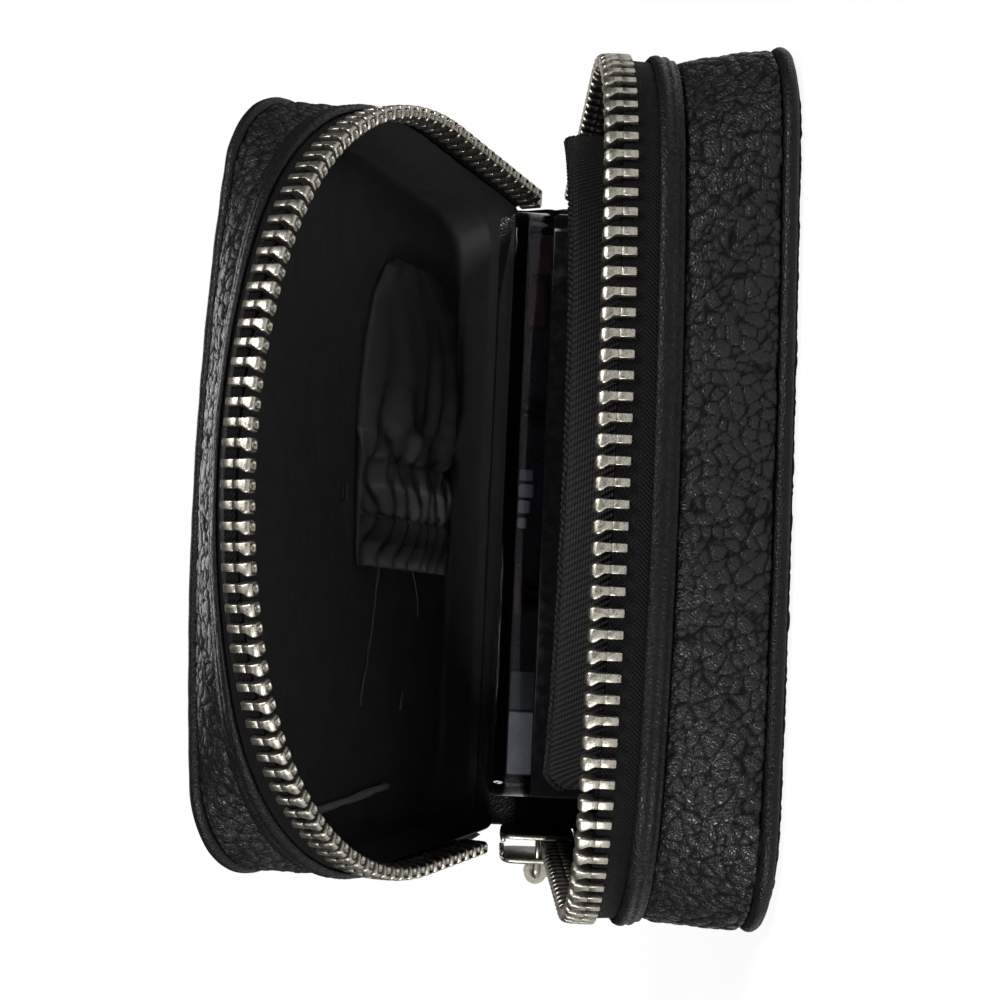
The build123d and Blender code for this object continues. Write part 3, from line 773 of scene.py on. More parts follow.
def make_finishes(colours):
    """Builds the shared node groups and every material once."""
    if FINISHES:
        return
    GROUPS.update(fine_grain=make_fine_grain(), twill=make_twill(), wear=make_wear())
    FINISHES.update(
        leather=leather_material("grained_leather", colours.leather[:], 2100.0, 0.45, 0.28, 0.5, 0.23),
        binding=leather_material("smooth_leather", colours.binding[:], 1500.0, 0.4, 0.34, 0.55, 0.13),
        tape=woven_material("zip_tape", colours.tape[:], 0.55, 1.5, 1.0, 0.8, 0.62),
        lining=cloth_material("lining_cloth", colours.lining[:], 0.5),
        # Painted light: the pocket is the lining's satin made 1.15 times paler, a lit copy of it
        pocket=cloth_material("pocket_cloth", times(colours.lining[:], 1.15), 0.46),
        collar=woven_material("collar_weave", colours.collar[:], 0.8, 40.0, 0.55, 0.9, 0.5),
        metal=metal_material("zip_metal", colours.metal[:], 0.36, 1500.0),
        # Painted shade: the slider is the zip metal made 0.8 times darker, a shaded copy of it
        slider=metal_material("shaded_slider_metal", times(colours.metal[:], 0.8), 0.34, 420.0, 0.75),
        tray=plastic_material("tray_black", colours.tray[:], 0.07),
        cover=clear_material("cover_clear", colours.cover[:]),
        pan=metal_material("pan_metal", colours.pan[:], 0.3, 900.0),
        powder=powder_material("powder", colours.powder[:]),
        thread=cloth_material("thread", (0.05, 0.05, 0.053), 0.4),
        tab=cloth_material("satin_tab", (0.11, 0.11, 0.115), 0.35),
        blush=powder_material("blush_powder", (0.07, 0.034, 0.04)),
        bronze=powder_material("bronze_powder", (0.09, 0.042, 0.03)),
        foam=powder_material("foam", (0.3, 0.3, 0.32)),
        pad=powder_material("grey_pad", (0.42, 0.43, 0.45)),
        pad_dark=powder_material("dark_pad", (0.11, 0.115, 0.12)),
        board=plastic_material("stiff_board", (0.03, 0.03, 0.03), 0.6),
        pin=metal_material("pin_steel", (0.55, 0.55, 0.55), 0.25, 1200.0),
    )


def start_piece(context):
    """The sizes in millimetres and the finishes, for one operator; the grain is the same each time."""
    # Without a seed, noise_vector takes its offsets from the clock
    noise.seed_set(GRAIN_SEED)
    scene = context.scene
    make_finishes(scene.case_colours)
    sizes = scene.case_sizes
    return {name: getattr(sizes, name) / MM for name in CaseSizes.__annotations__}


def attach(piece, body, slot, *nodes):
    """Rides the piece on its body and stands it for its CAD nodes."""
    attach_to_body(piece, body)
    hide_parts(*nodes)
    return piece


def columns_for(length, step):
    """Columns of half a rim at a mesh step."""
    return max(int(length / step), 40)


def grained_rows(shell, profile, count, wrap, sizes, size_share, depth_share, hold, seed=0.0, **stops):
    """World rows of a leather surface and its crease marks; hold is the share of the swells at each row."""
    rows = shell.world(rim_rows(shell, profile, count, **stops))
    flat = rows.reshape(-1, 3)
    sink, crease = pebbled(flat, sizes["pebble_size"] * size_share, sizes["pebble_depth"] * depth_share, seed)
    swell = waved(flat, 9.0, sizes["leather_swell"], seed) - abs(sizes["leather_swell"]) * 0.3
    sink, swell = sink.reshape(rows.shape[:2]), swell.reshape(rows.shape[:2])
    move = (sink + swell * np.asarray(hold)[:, None])[..., None]
    moved = rows + normals_of(rows, wrap) * shell.way * move
    return moved, crease.reshape(rows.shape[:2]) * depth_share


def walled(name, outer, crease, inner, finish):
    """A leather strip from its grained outer rows and its plain inner rows."""
    crease = np.concatenate([crease, np.zeros(inner.shape[:2])])
    return closed_strip(name, None, np.concatenate([outer, inner]), False, FINISHES[finish], crease)


# ---------------------------------------------------------------- pieces


class CASE_OT_side_walls(bpy.types.Operator):
    """Grained leather side walls of both shells, crowned and softly dented"""

    bl_idname = "case.side_walls"
    bl_label = "Side walls"

    def execute(self, context):
        sizes = start_piece(context)
        for shell in (BASE, LID):
            low, high = BINDING_FOOT + 0.05, shell.gusset_end
            count = int((high - low) / sizes["mesh_step"]) + 2
            share = np.linspace(0, 1, count)
            crown = -0.25 + (GUSSET_CROWN + 0.25) * np.sin(pi * share) ** 0.45
            profile = list(zip(low + (high - low) * share, crown))
            columns = columns_for(118, sizes["mesh_step"])
            ease = np.sin(pi * share) ** 0.5
            outer, crease = grained_rows(
                shell, profile, columns, False, sizes, 1.0, 1.0, ease, stop_x=SPINE_HALF + 0.1
            )
            inner_steps = [(high - 0.2, -GUSSET_WALL), (low + 0.2, -GUSSET_WALL)]
            inner = shell.world(rim_rows(shell, inner_steps, columns, stop_x=SPINE_HALF + 0.1))
            piece = walled(f"{shell.name}_side_wall", outer, crease, inner, "leather")
            attach(piece, shell.name, "grained_leather", f"{shell.name}_gusset")
        return {"FINISHED"}


class CASE_OT_panels(bpy.types.Operator):
    """Flat leather panels, grained, with their edges rolled down to the piping"""

    bl_idname = "case.panels"
    bl_label = "Panels"

    def execute(self, context):
        sizes = start_piece(context)
        for shell in (BASE, LID):
            edge = rim_rows(shell, [(shell.height, -2 * PIPING_RADIUS)], 300)[0][:, :2]
            flat, faces, loop = filled_outline(edge, 1.7 * sizes["mesh_step"])
            middle = flat.mean(0)
            top = np.column_stack([middle + (flat - middle) * 0.985, np.full(len(flat), shell.height)])
            rings, start = [top], len(top)
            last = loop
            rolled = ((0.99, 0.03), (0.995, 0.1), (0.9985, 0.28), (1.0, 0.6), (1.0, LEATHER - 0.1), (0.98, LEATHER))
            for share, drop in rolled:
                ring = middle + (flat[loop] - middle) * share
                rings.append(np.column_stack([ring, np.full(len(loop), shell.height - drop)]))
                new = start + np.arange(len(loop))
                start += len(loop)
                faces += list(zip(last, np.roll(last, -1), np.roll(new, -1), new))
                last = new
            faces.append(tuple(last[::-1]))
            world = shell.world(np.concatenate(rings))
            grained = slice(0, len(top) + 2 * len(loop))
            sink, mark = pebbled(world[grained], sizes["pebble_size"], sizes["pebble_depth"], 3.0)
            swell = (waved(world[grained], 22.0, 0.12, 5.0) - 0.12) * (1 if shell is LID else 0)
            out = shell.world(((0, 0, 1.0), (0, 0, 0.0)))
            world[grained] += (out[0] - out[1]) * (sink + swell)[:, None]
            crease = np.zeros(len(world))
            crease[grained] = mark
            piece = mesh_piece(f"{shell.name}_outer_panel", world, faces, FINISHES["leather"], crease=crease)
            attach(piece, shell.name, "grained_leather", f"{shell.name}_panel")
            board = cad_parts[f"{shell.name}_board"]
            board.data.materials.clear()
            board.data.materials.append(FINISHES["board"])
        return {"FINISHED"}


class CASE_OT_piping(bpy.types.Operator):
    """Leather-covered cord round each panel, a little uneven"""

    bl_idname = "case.piping"
    bl_label = "Piping"

    def execute(self, context):
        start_piece(context)
        for shell in (BASE, LID):
            path = rim_rows(shell, [(shell.piping_depth, 0.1 - PIPING_RADIUS)], columns_for(190, 0.6))[0]
            piece = tube_along(
                f"{shell.name}_edge_piping",
                shell.world(path),
                PIPING_RADIUS - 0.02,
                18,
                FINISHES["binding"],
                True,
                0.07,
                2.0 + shell.way,
            )
            attach(piece, shell.name, "smooth_binding", f"{shell.name}_piping")
        return {"FINISHED"}


class CASE_OT_bindings(bpy.types.Operator):
    """Rolled leather strips that hold the zip tape, with a groove beside the side wall"""

    bl_idname = "case.bindings"
    bl_label = "Bindings"

    def execute(self, context):
        sizes = start_piece(context)
        width = BINDING_FOOT - BINDING_TOP
        for shell in (BASE, LID):
            share = np.linspace(0, 1, 15)
            roll = 0.62 + 0.68 * np.sin(pi * np.clip(share * 1.18, 0, 1)) ** 0.55
            roll -= 0.25 * np.exp(-(((share - 0.52) / 0.1) ** 2))
            profile = list(zip(BINDING_TOP + width * share, roll))
            columns = columns_for(112, sizes["mesh_step"])
            outer, crease = grained_rows(
                shell, profile, columns, False, sizes, 0.6, 0.3, np.sin(pi * share) * 0.35, 7.0, stop_y=-CHAIN_END
            )
            flush = shell.world(rim_rows(shell, [(d, 0.44) for d, _ in profile], columns, stop_y=-CHAIN_END))
            from_end = np.arange(outer.shape[1])
            from_end = np.minimum(from_end, from_end[::-1]) * sizes["mesh_step"] / 1.8
            outer = flush + (outer - flush) * np.sqrt(np.clip(from_end, 0.02, 1))[None, :, None]
            inner = shell.world(
                rim_rows(shell, [(BINDING_FOOT - 0.1, 0.42), (BINDING_TOP + 0.1, 0.42)], columns, stop_y=-CHAIN_END)
            )
            piece = walled(f"{shell.name}_rolled_binding", outer, crease, inner, "binding")
            attach(piece, shell.name, "smooth_binding", f"{shell.name}_binding")
        return {"FINISHED"}


class CASE_OT_tapes(bpy.types.Operator):
    """Herringbone zip tapes between the bindings and the teeth"""

    bl_idname = "case.tapes"
    bl_label = "Zip tapes"

    def execute(self, context):
        start_piece(context)
        half = 0.29
        for shell in (BASE, LID):
            depths = np.concatenate([[TAPE_EDGE + 0.05], np.linspace(3.4, BINDING_FOOT, 14)])
            wave = 0.06 * np.sin(np.linspace(0, 3 * pi, len(depths)))
            profile = [(d, half + w) for d, w in zip(depths, wave)]
            profile += [(d, -half + w) for d, w in zip(depths[::-1], wave[::-1])]
            rows = rim_rows(shell, profile, 260, stop_y=STOP_LENGTH - CHAIN_END)
            if shell is LID:
                # The tape ends above the parked slider
                keep = ~((rows[0, :, 0] < 0) & (rows[0, :, 1] > -SLIDER_END))
                rows = rows[:, keep]
            piece = closed_strip(f"{shell.name}_woven_tape", shell, rows, False, FINISHES["tape"])
            attach(piece, shell.name, "zip_tape", f"{shell.name}_tape")
        return {"FINISHED"}


def tooth_body():
    """One cast tooth about its root: x along the row, y out of the tape, z towards the head."""
    rows = [
        (0.0, -0.42, 0.42, 1.00),
        (0.10, -0.52, 0.52, 1.12),
        (1.80, -0.52, 0.52, 1.12),
        (2.40, -0.50, 0.50, 1.08),
        (2.55, -0.50, 0.52, 1.10),
        (2.75, -0.54, 0.62, 1.10),
        (2.95, -0.58, 0.82, 1.06),
        (3.20, -0.64, 1.02, 1.02),
        (3.50, -0.67, 1.10, 0.98),
        (3.75, -0.63, 1.06, 0.88),
        (3.98, -0.52, 0.92, 0.72),
        (4.08, -0.40, 0.78, 0.60),
        (3.96, -0.30, 0.66, 0.50),
        (3.62, -0.22, 0.56, 0.40),
        (3.40, -0.10, 0.42, 0.26),
    ]

    def ring(low_x, high_x, low_y, high_y, z, radius):
        return np.column_stack([rounded_ring(low_x, high_x, low_y, high_y, radius, 4), np.full(16, z)])

    body = [ring(a, b, -h, h, z, 0.14 if z < 2.9 else 0.3) for z, a, b, h in rows if z >= 1.8]
    prongs = []
    for side in (-1, 1):
        steps = []
        for z, a, b, h in rows[:3] + [(1.95, -0.5, 0.5, 1.0)]:
            near, far = sorted((side * 0.33, side * h))
            steps.append(ring(a, b, near, far, z, 0.14))
        prongs.append(lofted(steps))
    return many([lofted(body)] + prongs)


class CASE_OT_teeth(bpy.types.Operator):
    """Two rows of cast teeth with stepped necks and round heads, and the pinched stops past their ends"""

    bl_idname = "case.teeth"
    bl_label = "Zip teeth"

    def execute(self, context):
        start_piece(context)
        points, faces = tooth_body()
        for shell, shift, low_end in ((BASE, 0.0, CHAIN_END), (LID, TOOTH_PITCH / 2, SLIDER_END)):
            bodies = []
            for side, end in ((1, CHAIN_END), (-1, low_end)):
                step = 0 if side > 0 else 1
                x, y, turn = shell.rim.at(shift)
                while y < -end:
                    x, y, turn = shell.rim.at(shift + side * step * TOOTH_PITCH)
                    if y < -end:
                        lean = 0.035 * noise.noise(Vector((x, y, 0.5 * shell.way)))
                        along = np.array((cos(turn + lean), sin(turn + lean)))
                        out = np.array((sin(turn), -cos(turn)))
                        spot = np.array((x, y)) - points[:, :1] * along + points[:, 1:2] * out
                        bodies.append((np.column_stack([spot, TOOTH_ROOT - points[:, 2]]), faces))
                    step += 1
            body_points, body_faces = many(bodies)
            piece = mesh_piece(f"{shell.name}_zip_teeth", shell.world(body_points), body_faces, FINISHES["metal"])
            attach(piece, shell.name, "zip_metal", f"{shell.name}_teeth")

        for shell, sides in ((BASE, (1, -1)), (LID, (1,))):
            end = shell.rim.corner_centre + shell.rim.corner * np.array((cos(END_TAPER), sin(END_TAPER)))
            run = (STOP_LENGTH - CHAIN_END - end[1]) / cos(END_TAPER)
            end = end + run * np.array((-sin(END_TAPER), cos(END_TAPER)))
            half = STOP_LENGTH / 2
            bodies = []
            for side in sides:
                for low, high, near, far in ((-1.15, 1.15, 1.9, 2.7), (0.33, 1.15, 2.3, 5.5), (-1.15, -0.33, 2.3, 5.5)):
                    points, faces = soft_box((low, -half, near), (high, half, far), 0.35, 0.16)
                    out, along, depth = points.T
                    x = side * (end[0] + out * cos(END_TAPER) - along * sin(END_TAPER))
                    y = end[1] + out * sin(END_TAPER) + along * cos(END_TAPER)
                    bodies.append((np.column_stack([x, y, depth]), faces))
            points, faces = many(bodies)
            piece = mesh_piece(f"{shell.name}_end_stops", shell.world(points), faces, FINISHES["metal"])
            attach(piece, shell.name, "zip_metal", f"{shell.name}_stops")
        return {"FINISHED"}


class CASE_OT_spine(bpy.types.Operator):
    """One leather spine that runs up the base's far wall, over the hinge and up the lid"""

    bl_idname = "case.spine"
    bl_label = "Spine"

    def execute(self, context):
        sizes = start_piece(context)
        stops = []
        base_depths = np.linspace(BASE.gusset_end, 1.2, 60)
        lid_depths = np.linspace(1.2, LID.gusset_end, 46)
        for shell, depths in ((BASE, base_depths), (LID, lid_depths)):
            inward = shell.world(((0, -1.0, 0), (0, 0, 0)))
            inward = (inward[0] - inward[1])[1:]
            rows = [(*shell.world((0, -FAR_INSET, depth))[1:], shell.way * depth, *inward) for depth in depths]
            if shell is LID:
                bottom, top = np.array(stops[-1]), np.array(rows[0])
                bulge = (bottom + top) / 2
                bulge[:2] = HINGE.y + 1.1, HINGE.z + 0.3
                for share in np.linspace(0, 1, 10)[1:-1]:
                    stops.append((1 - share) ** 2 * bottom + 2 * share * (1 - share) * bulge + share**2 * top)
            stops += rows
        stops = np.array(stops)
        step = 1.3 * sizes["mesh_step"]
        run = np.concatenate([[0], np.cumsum(np.linalg.norm(np.diff(stops[:, :2], axis=0), axis=1))])
        at = np.linspace(0, run[-1], int(38 / step))
        stops = np.stack([np.interp(at, run, stops[:, k]) for k in range(5)], 1)
        path, side_depth, inward = stops[:, :2], stops[:, 2], stops[:, 3:]
        shares = np.linspace(-1, 1, int(2 * SPINE_HALF / step))
        outer = np.empty((len(path), len(shares), 3))
        way = np.gradient(path, axis=0)
        way /= np.linalg.norm(way, axis=1, keepdims=True)
        out = np.column_stack([way[:, 1], -way[:, 0]])
        for k, (spot, depth) in enumerate(zip(path, side_depth)):
            shell = LID if depth > 0 else BASE
            depth = abs(depth)
            tuck = min(max((depth - BINDING_FOOT) / 2.2, 0), 1)
            tuck = tuck * tuck * (3 - 2 * tuck)
            xs = shares * (SPINE_RIM_HALF + (SPINE_HALF + 0.15 - SPINE_RIM_HALF) * tuck)
            line = shell.outline(depth).half_line(0)
            line = line[int(np.argmax(line[:, 0])):][::-1]
            drop = -FAR_INSET - np.interp(np.abs(xs), line[:, 0], line[:, 1])
            if depth > BINDING_FOOT:
                share = (depth - BINDING_FOOT) / (shell.gusset_end - BINDING_FOOT)
                crown = GUSSET_CROWN * sin(pi * min(share, 1)) ** 0.45
                drop -= crown * np.clip((np.abs(xs) - 36) / 7, 0, 1)
                drop += 0.5 * np.clip((np.abs(xs) - SPINE_HALF - 0.1) / 0.5, 0, 1)
            outer[k, :, 0] = xs
            outer[k, :, 1:] = spot + drop[:, None] * inward[k]
        flat = outer.reshape(-1, 3)
        sink, crease = pebbled(flat, sizes["pebble_size"], sizes["pebble_depth"], 11.0)
        crease = crease.reshape(outer.shape[:2])
        sink = (sink + waved(flat, 14.0, 0.16, 4.0) - 0.16).reshape(outer.shape[:2])
        inner = outer.copy()
        outer[..., 1:] += out[:, None] * sink[..., None]
        inner[..., 1:] -= out[:, None] * 1.2
        piece = walled("spine_leather", outer, crease, inner[::-1], "leather")
        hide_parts("base_spine", "lid_spine")
        start = BASE.world((0, -FAR_INSET, 3.2)) * MM
        end = LID.world((0, -FAR_INSET, 3.2)) * MM
        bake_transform(piece)
        return {"FINISHED"}


# Threads and tucks on the lid's lining: name, radius, finish, and stops in the lid's frame
LINING_DETAILS = (
    ("lining_seam", 0.16, "thread", ((-10.0, -25.3), (-20.0, -26.6), (-31.5, -29.0))),
    ("lining_thread_end", 0.12, "thread", ((-10.5, -14.5), (-14.5, -12.6), (-17.5, -12.0))),
    ("lining_tack", 0.22, "thread", ((-29.4, -16.2), (-32.0, -16.6))),
    ("lining_tuck", 0.6, "tab", ((-46.7, -41.9), (-45.6, -33.0), (-43.9, -20.6))),
)


class CASE_OT_linings(bpy.types.Operator):
    """Thin satin linings of both shells, softly creased"""

    bl_idname = "case.linings"
    bl_label = "Linings"

    def execute(self, context):
        start_piece(context)
        for shell in (BASE, LID):
            back = -GUSSET_WALL - 0.25
            floor = shell.lining_back
            steps = [(LINING_RIM, -0.45), (BINDING_FOOT - 0.9, -0.5), (BINDING_FOOT + 0.4, back)]
            steps += [(d, back) for d in np.linspace(BINDING_FOOT + 0.8, floor - 1.2, 8)]
            steps += [(floor - 0.6, back - 0.15), (floor - 0.2, back - 0.6)]
            wall = rim_rows(shell, steps, 260)
            edge = wall[-1][:, :2]
            middle = np.array((0, (edge[:, 1].min() + edge[:, 1].max()) / 2))
            floor_rows = np.array(
                [
                    np.column_stack([middle + (edge - middle) * s, np.full(len(edge), floor - 0.05)])
                    for s in np.linspace(0.985, 0.02, 60)
                ]
            )
            rows = np.concatenate([wall, floor_rows])
            flat = rows.reshape(-1, 3)
            crease = (waved(flat, 5.0, 0.16, 9.0) + waved(flat * (1, 2.2, 1), 2.4, 0.06, 2.0)).reshape(rows.shape[:2])
            world = shell.world(rows)
            away = normals_of(world, True) * -shell.way
            front = world + away * (0.25 + crease + 0.1)[..., None]
            back_side = world + away * (crease + 0.1)[..., None]
            grid = np.concatenate([front, back_side[::-1]])
            piece = closed_strip(f"{shell.name}_satin_lining", None, grid, True, FINISHES["lining"])
            attach(piece, shell.name, "lining_cloth", f"{shell.name}_lining")
        floor = LID.lining_back - 0.45
        for name, radius, finish, stops in LINING_DETAILS:
            spots = np.array([(x, y, floor - radius * 0.7) for x, y in stops])
            along = resampled(spots, 24)
            along[:, :2] += np.stack([waved(along, 3.1, 0.25, 1.0), waved(along, 2.7, 0.25, 8.0)], 1)
            piece = tube_along(f"lid_{name}", LID.world(along), radius, 8, FINISHES[finish], False, radius * 0.3, 3.0)
            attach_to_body(piece, "lid")
        return {"FINISHED"}


class CASE_OT_collar(bpy.types.Operator):
    """Ribbed collar inside the base rim, with a twisted cord along its top edge"""

    bl_idname = "case.collar"
    bl_label = "Collar"

    def execute(self, context):
        sizes = start_piece(context)
        plan = Outline(0, RIM_HALF, 68.0, 45.0, PANEL_CORNER)

        def line(grow):
            right = plan.half_line(grow)
            full = np.concatenate([right[:0:-1] * (-1, 1), right])
            near = full[full[:, 1] < -CASE_DEPTH * 0.35]
            keep = near[(near[:, 0] > COLLAR_LOW_X) & (near[:, 0] < COLLAR_HIGH_X)]
            return resampled(keep, 420)

        foot = BASE.lining_back - 0.6
        out, inner = line(-COLLAR_FROM_RIM), line(-COLLAR_FROM_RIM - COLLAR_THICK)
        run = np.linspace(0, 1, len(out))
        ends = np.clip(np.minimum(run, 1 - run) / 0.035, 0, 1)
        top = -COLLAR_RISE * (1 - (1 - ends) ** 2)
        rows = []
        for share in np.linspace(1, 0, 30):
            rows.append(np.column_stack([out, foot + (top - foot) * (1 - share)]))
        for share in np.linspace(0, 1, 8):
            rows.append(np.column_stack([inner, foot + (top - foot) * (1 - share)]))
        piece = closed_strip("base_ribbed_collar", BASE, np.array(rows), False, FINISHES["collar"])
        attach(piece, "base", "collar_weave", "base_collar")

        middle = (out + inner) / 2
        centre = BASE.world(np.column_stack([middle, top - 0.05]))
        length = np.concatenate([[0], np.cumsum(np.linalg.norm(np.diff(centre, axis=0), axis=1))])
        count = int(length[-1] / 0.16)
        at = np.linspace(0.6, length[-1] - 0.6, count)
        centre = np.stack([np.interp(at, length, centre[:, k]) for k in range(3)], 1)
        way = np.gradient(centre, axis=0)
        way /= np.linalg.norm(way, axis=1, keepdims=True)
        side = np.cross(way, (0, 0, 1.0))
        side /= np.linalg.norm(side, axis=1, keepdims=True)
        strands = []
        for phase in (0, pi):
            turn = at / sizes["cord_pitch"] * 2 * pi + phase
            path = centre + sizes["cord_radius"] * 0.95 * (
                np.cos(turn)[:, None] * side + np.sin(turn)[:, None] * np.array((0, 0, 1.0))
            )
            name = f"base_collar_strand_{len(strands)}"
            strands.append(tube_along(name, path, sizes["cord_radius"], 8, FINISHES["collar"], False))
        for strand in strands:
            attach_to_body(strand, "base")
        return {"FINISHED"}


# Along the pocket from its seam to its ruffle: x, near edge, far edge, puff, wide folds, narrow tucks
POCKET_STATIONS = (
    (37.5, -25.5, -13.5, 0.10, 0.0, 0.0),
    (36.0, -28.5, -10.5, 0.90, 0.1, 0.0),
    (31.0, -31.8, -5.8, 1.90, 0.05, 0.0),
    (24.0, -33.6, -4.4, 2.70, 0.2, 0.0),
    (16.0, -34.4, -4.0, 2.80, 0.7, 0.0),
    (10.0, -34.7, -4.0, 2.30, 1.0, 0.1),
    (6.8, -33.0, -5.0, 1.10, 0.7, 0.5),
    (6.0, -32.6, -5.2, 0.60, 0.4, 0.6),
    (5.2, -33.0, -5.0, 1.00, 0.4, 0.8),
    (1.5, -33.8, -4.0, 1.60, 0.3, 1.0),
    (-1.8, -33.0, -4.4, 0.90, 0.2, 0.8),
    (-2.6, -32.8, -4.6, 0.50, 0.1, 0.6),
    (-3.4, -33.0, -4.4, 0.90, 0.1, 0.9),
    (-7.0, -33.6, -4.0, 1.40, 0.1, 1.1),
    (-10.5, -32.8, -4.4, 0.80, 0.1, 1.0),
)


class CASE_OT_pocket(bpy.types.Operator):
    """Gathered pocket on the lid's lining: loose folds, drawn-in mouth and ruffled edge"""

    bl_idname = "case.pocket"
    bl_label = "Lid pocket"

    def execute(self, context):
        sizes = start_piece(context)
        stations = np.array(POCKET_STATIONS)[::-1]
        back = LID.lining_back - 0.6
        xs = np.linspace(stations[-1, 0], stations[0, 0], 190)
        shares = np.linspace(0, 1, 150)
        grid = np.empty((len(xs), len(shares), 3))
        for i, x in enumerate(xs):
            near, far, puff, gather, fine = (np.interp(x, stations[:, 0], stations[:, k]) for k in range(1, 6))
            for j, across in enumerate(shares):
                warp = noise.noise(Vector((x * 0.07, across * 1.3, 2.0))) * 0.8 + 0.12 * sin(x * 0.2)
                folds = sin(pi * (across * 5.2 + 1.6 * warp)) + 0.4 * sin(pi * (across * 9.1 - 2.3 * warp + 0.7))
                tucks = sin(2 * pi * (across * 7.5 + 0.5 * sin(x * 0.5) + warp * 1.5))
                small = noise.noise(Vector((x * 0.2, across * 7.0, 6.0)))
                edge = min(across, 1 - across, 0.12) / 0.12
                height = 0.5 + puff * sin(pi * across) ** 0.45
                height += edge * sizes["fold_height"] * (gather * folds + fine * tucks + 0.25 * small)
                grid[i, j] = (x, near + (far - near) * across, back - max(height, 0.3))
        world = LID.world(grid)
        up = LID.world(np.array(((0, 0, 1.0),)))[0] - LID.world(np.array(((0, 0, 0.0),)))[0]
        rows = np.concatenate([world, (world + up * 0.22)[::-1]])
        piece = closed_strip("lid_gathered_pocket", None, rows, False, FINISHES["pocket"])
        attach(piece, "lid", "lining_cloth", "lid_pocket", "lid_pocket_ruffle")
        ys = np.linspace(-32.6, -4.9, 90)
        beads = 0.62 + 0.16 * np.sin(ys * 2.6) + 0.1 * np.sin(ys * 4.3)
        mouth = LID.world(np.column_stack([np.full(90, -2.6) + 0.12 * np.sin(ys * 1.3), ys, back - beads]))
        piece = tube_along("lid_mouth_elastic", mouth, 0.38, 10, FINISHES["pocket"], False, 0.05, 6.0)
        attach(piece, "lid", "lining_cloth", "lid_pocket_elastic")
        return {"FINISHED"}


def barrel(start, end, y, z, radius, bore):
    """A bored hinge barrel along x with softened rims."""
    turns = np.linspace(0, 2 * pi, 32, endpoint=False)
    steps = (
        (start + 0.15, radius), (end - 0.15, radius), (end, radius - 0.15),
        (end, bore + 0.1), (end - 0.1, bore), (start + 0.1, bore), (start, bore + 0.1), (start, radius - 0.15),
    )
    rings = np.array(
        [np.column_stack([np.full(32, x), y + r * np.cos(turns), z + r * np.sin(turns)]) for x, r in steps]
    )
    return rings.reshape(-1, 3), [tuple(f) for f in grid_faces(len(steps), 32, True, True)]


def soft_box(low, high, radius, edge=0.12):
    """A block whose upright corners are round and whose upper and lower rims are softened."""
    rings = []
    for z, shrink in ((low[2], edge), (low[2] + edge, 0), (high[2] - edge, 0), (high[2], edge)):
        flat = rounded_ring(low[0] + shrink, high[0] - shrink, low[1] + shrink, high[1] - shrink, radius, 5)
        rings.append(np.column_stack([flat, np.full(len(flat), z)]))
    return lofted(rings)


# What shows through the cover's near side: low x, high x, low z and high z of each block
INSERT_CONTENTS = (
    ("blush_blocks", "blush", ((25.6, 30.4, 29.2, 31.6), (18.7, 24.8, 29.8, 31.6))),
    (
        "foam_ribs",
        "foam",
        ((-0.9, 0.5, 30.4, 31.9), (-3.0, -1.3, 30.3, 31.9), (-5.0, -3.4, 30.6, 31.9), (-6.9, -5.6, 30.9, 31.9)),
    ),
    ("bronze_block", "bronze", ((-17.8, -11.5, 31.0, 31.9),)),
    ("grey_pad", "pad", ((-37.6, -29.9, 29.1, 31.9),)),
    ("dark_pad", "pad_dark", ((-29.6, -24.9, 29.1, 31.9),)),
)


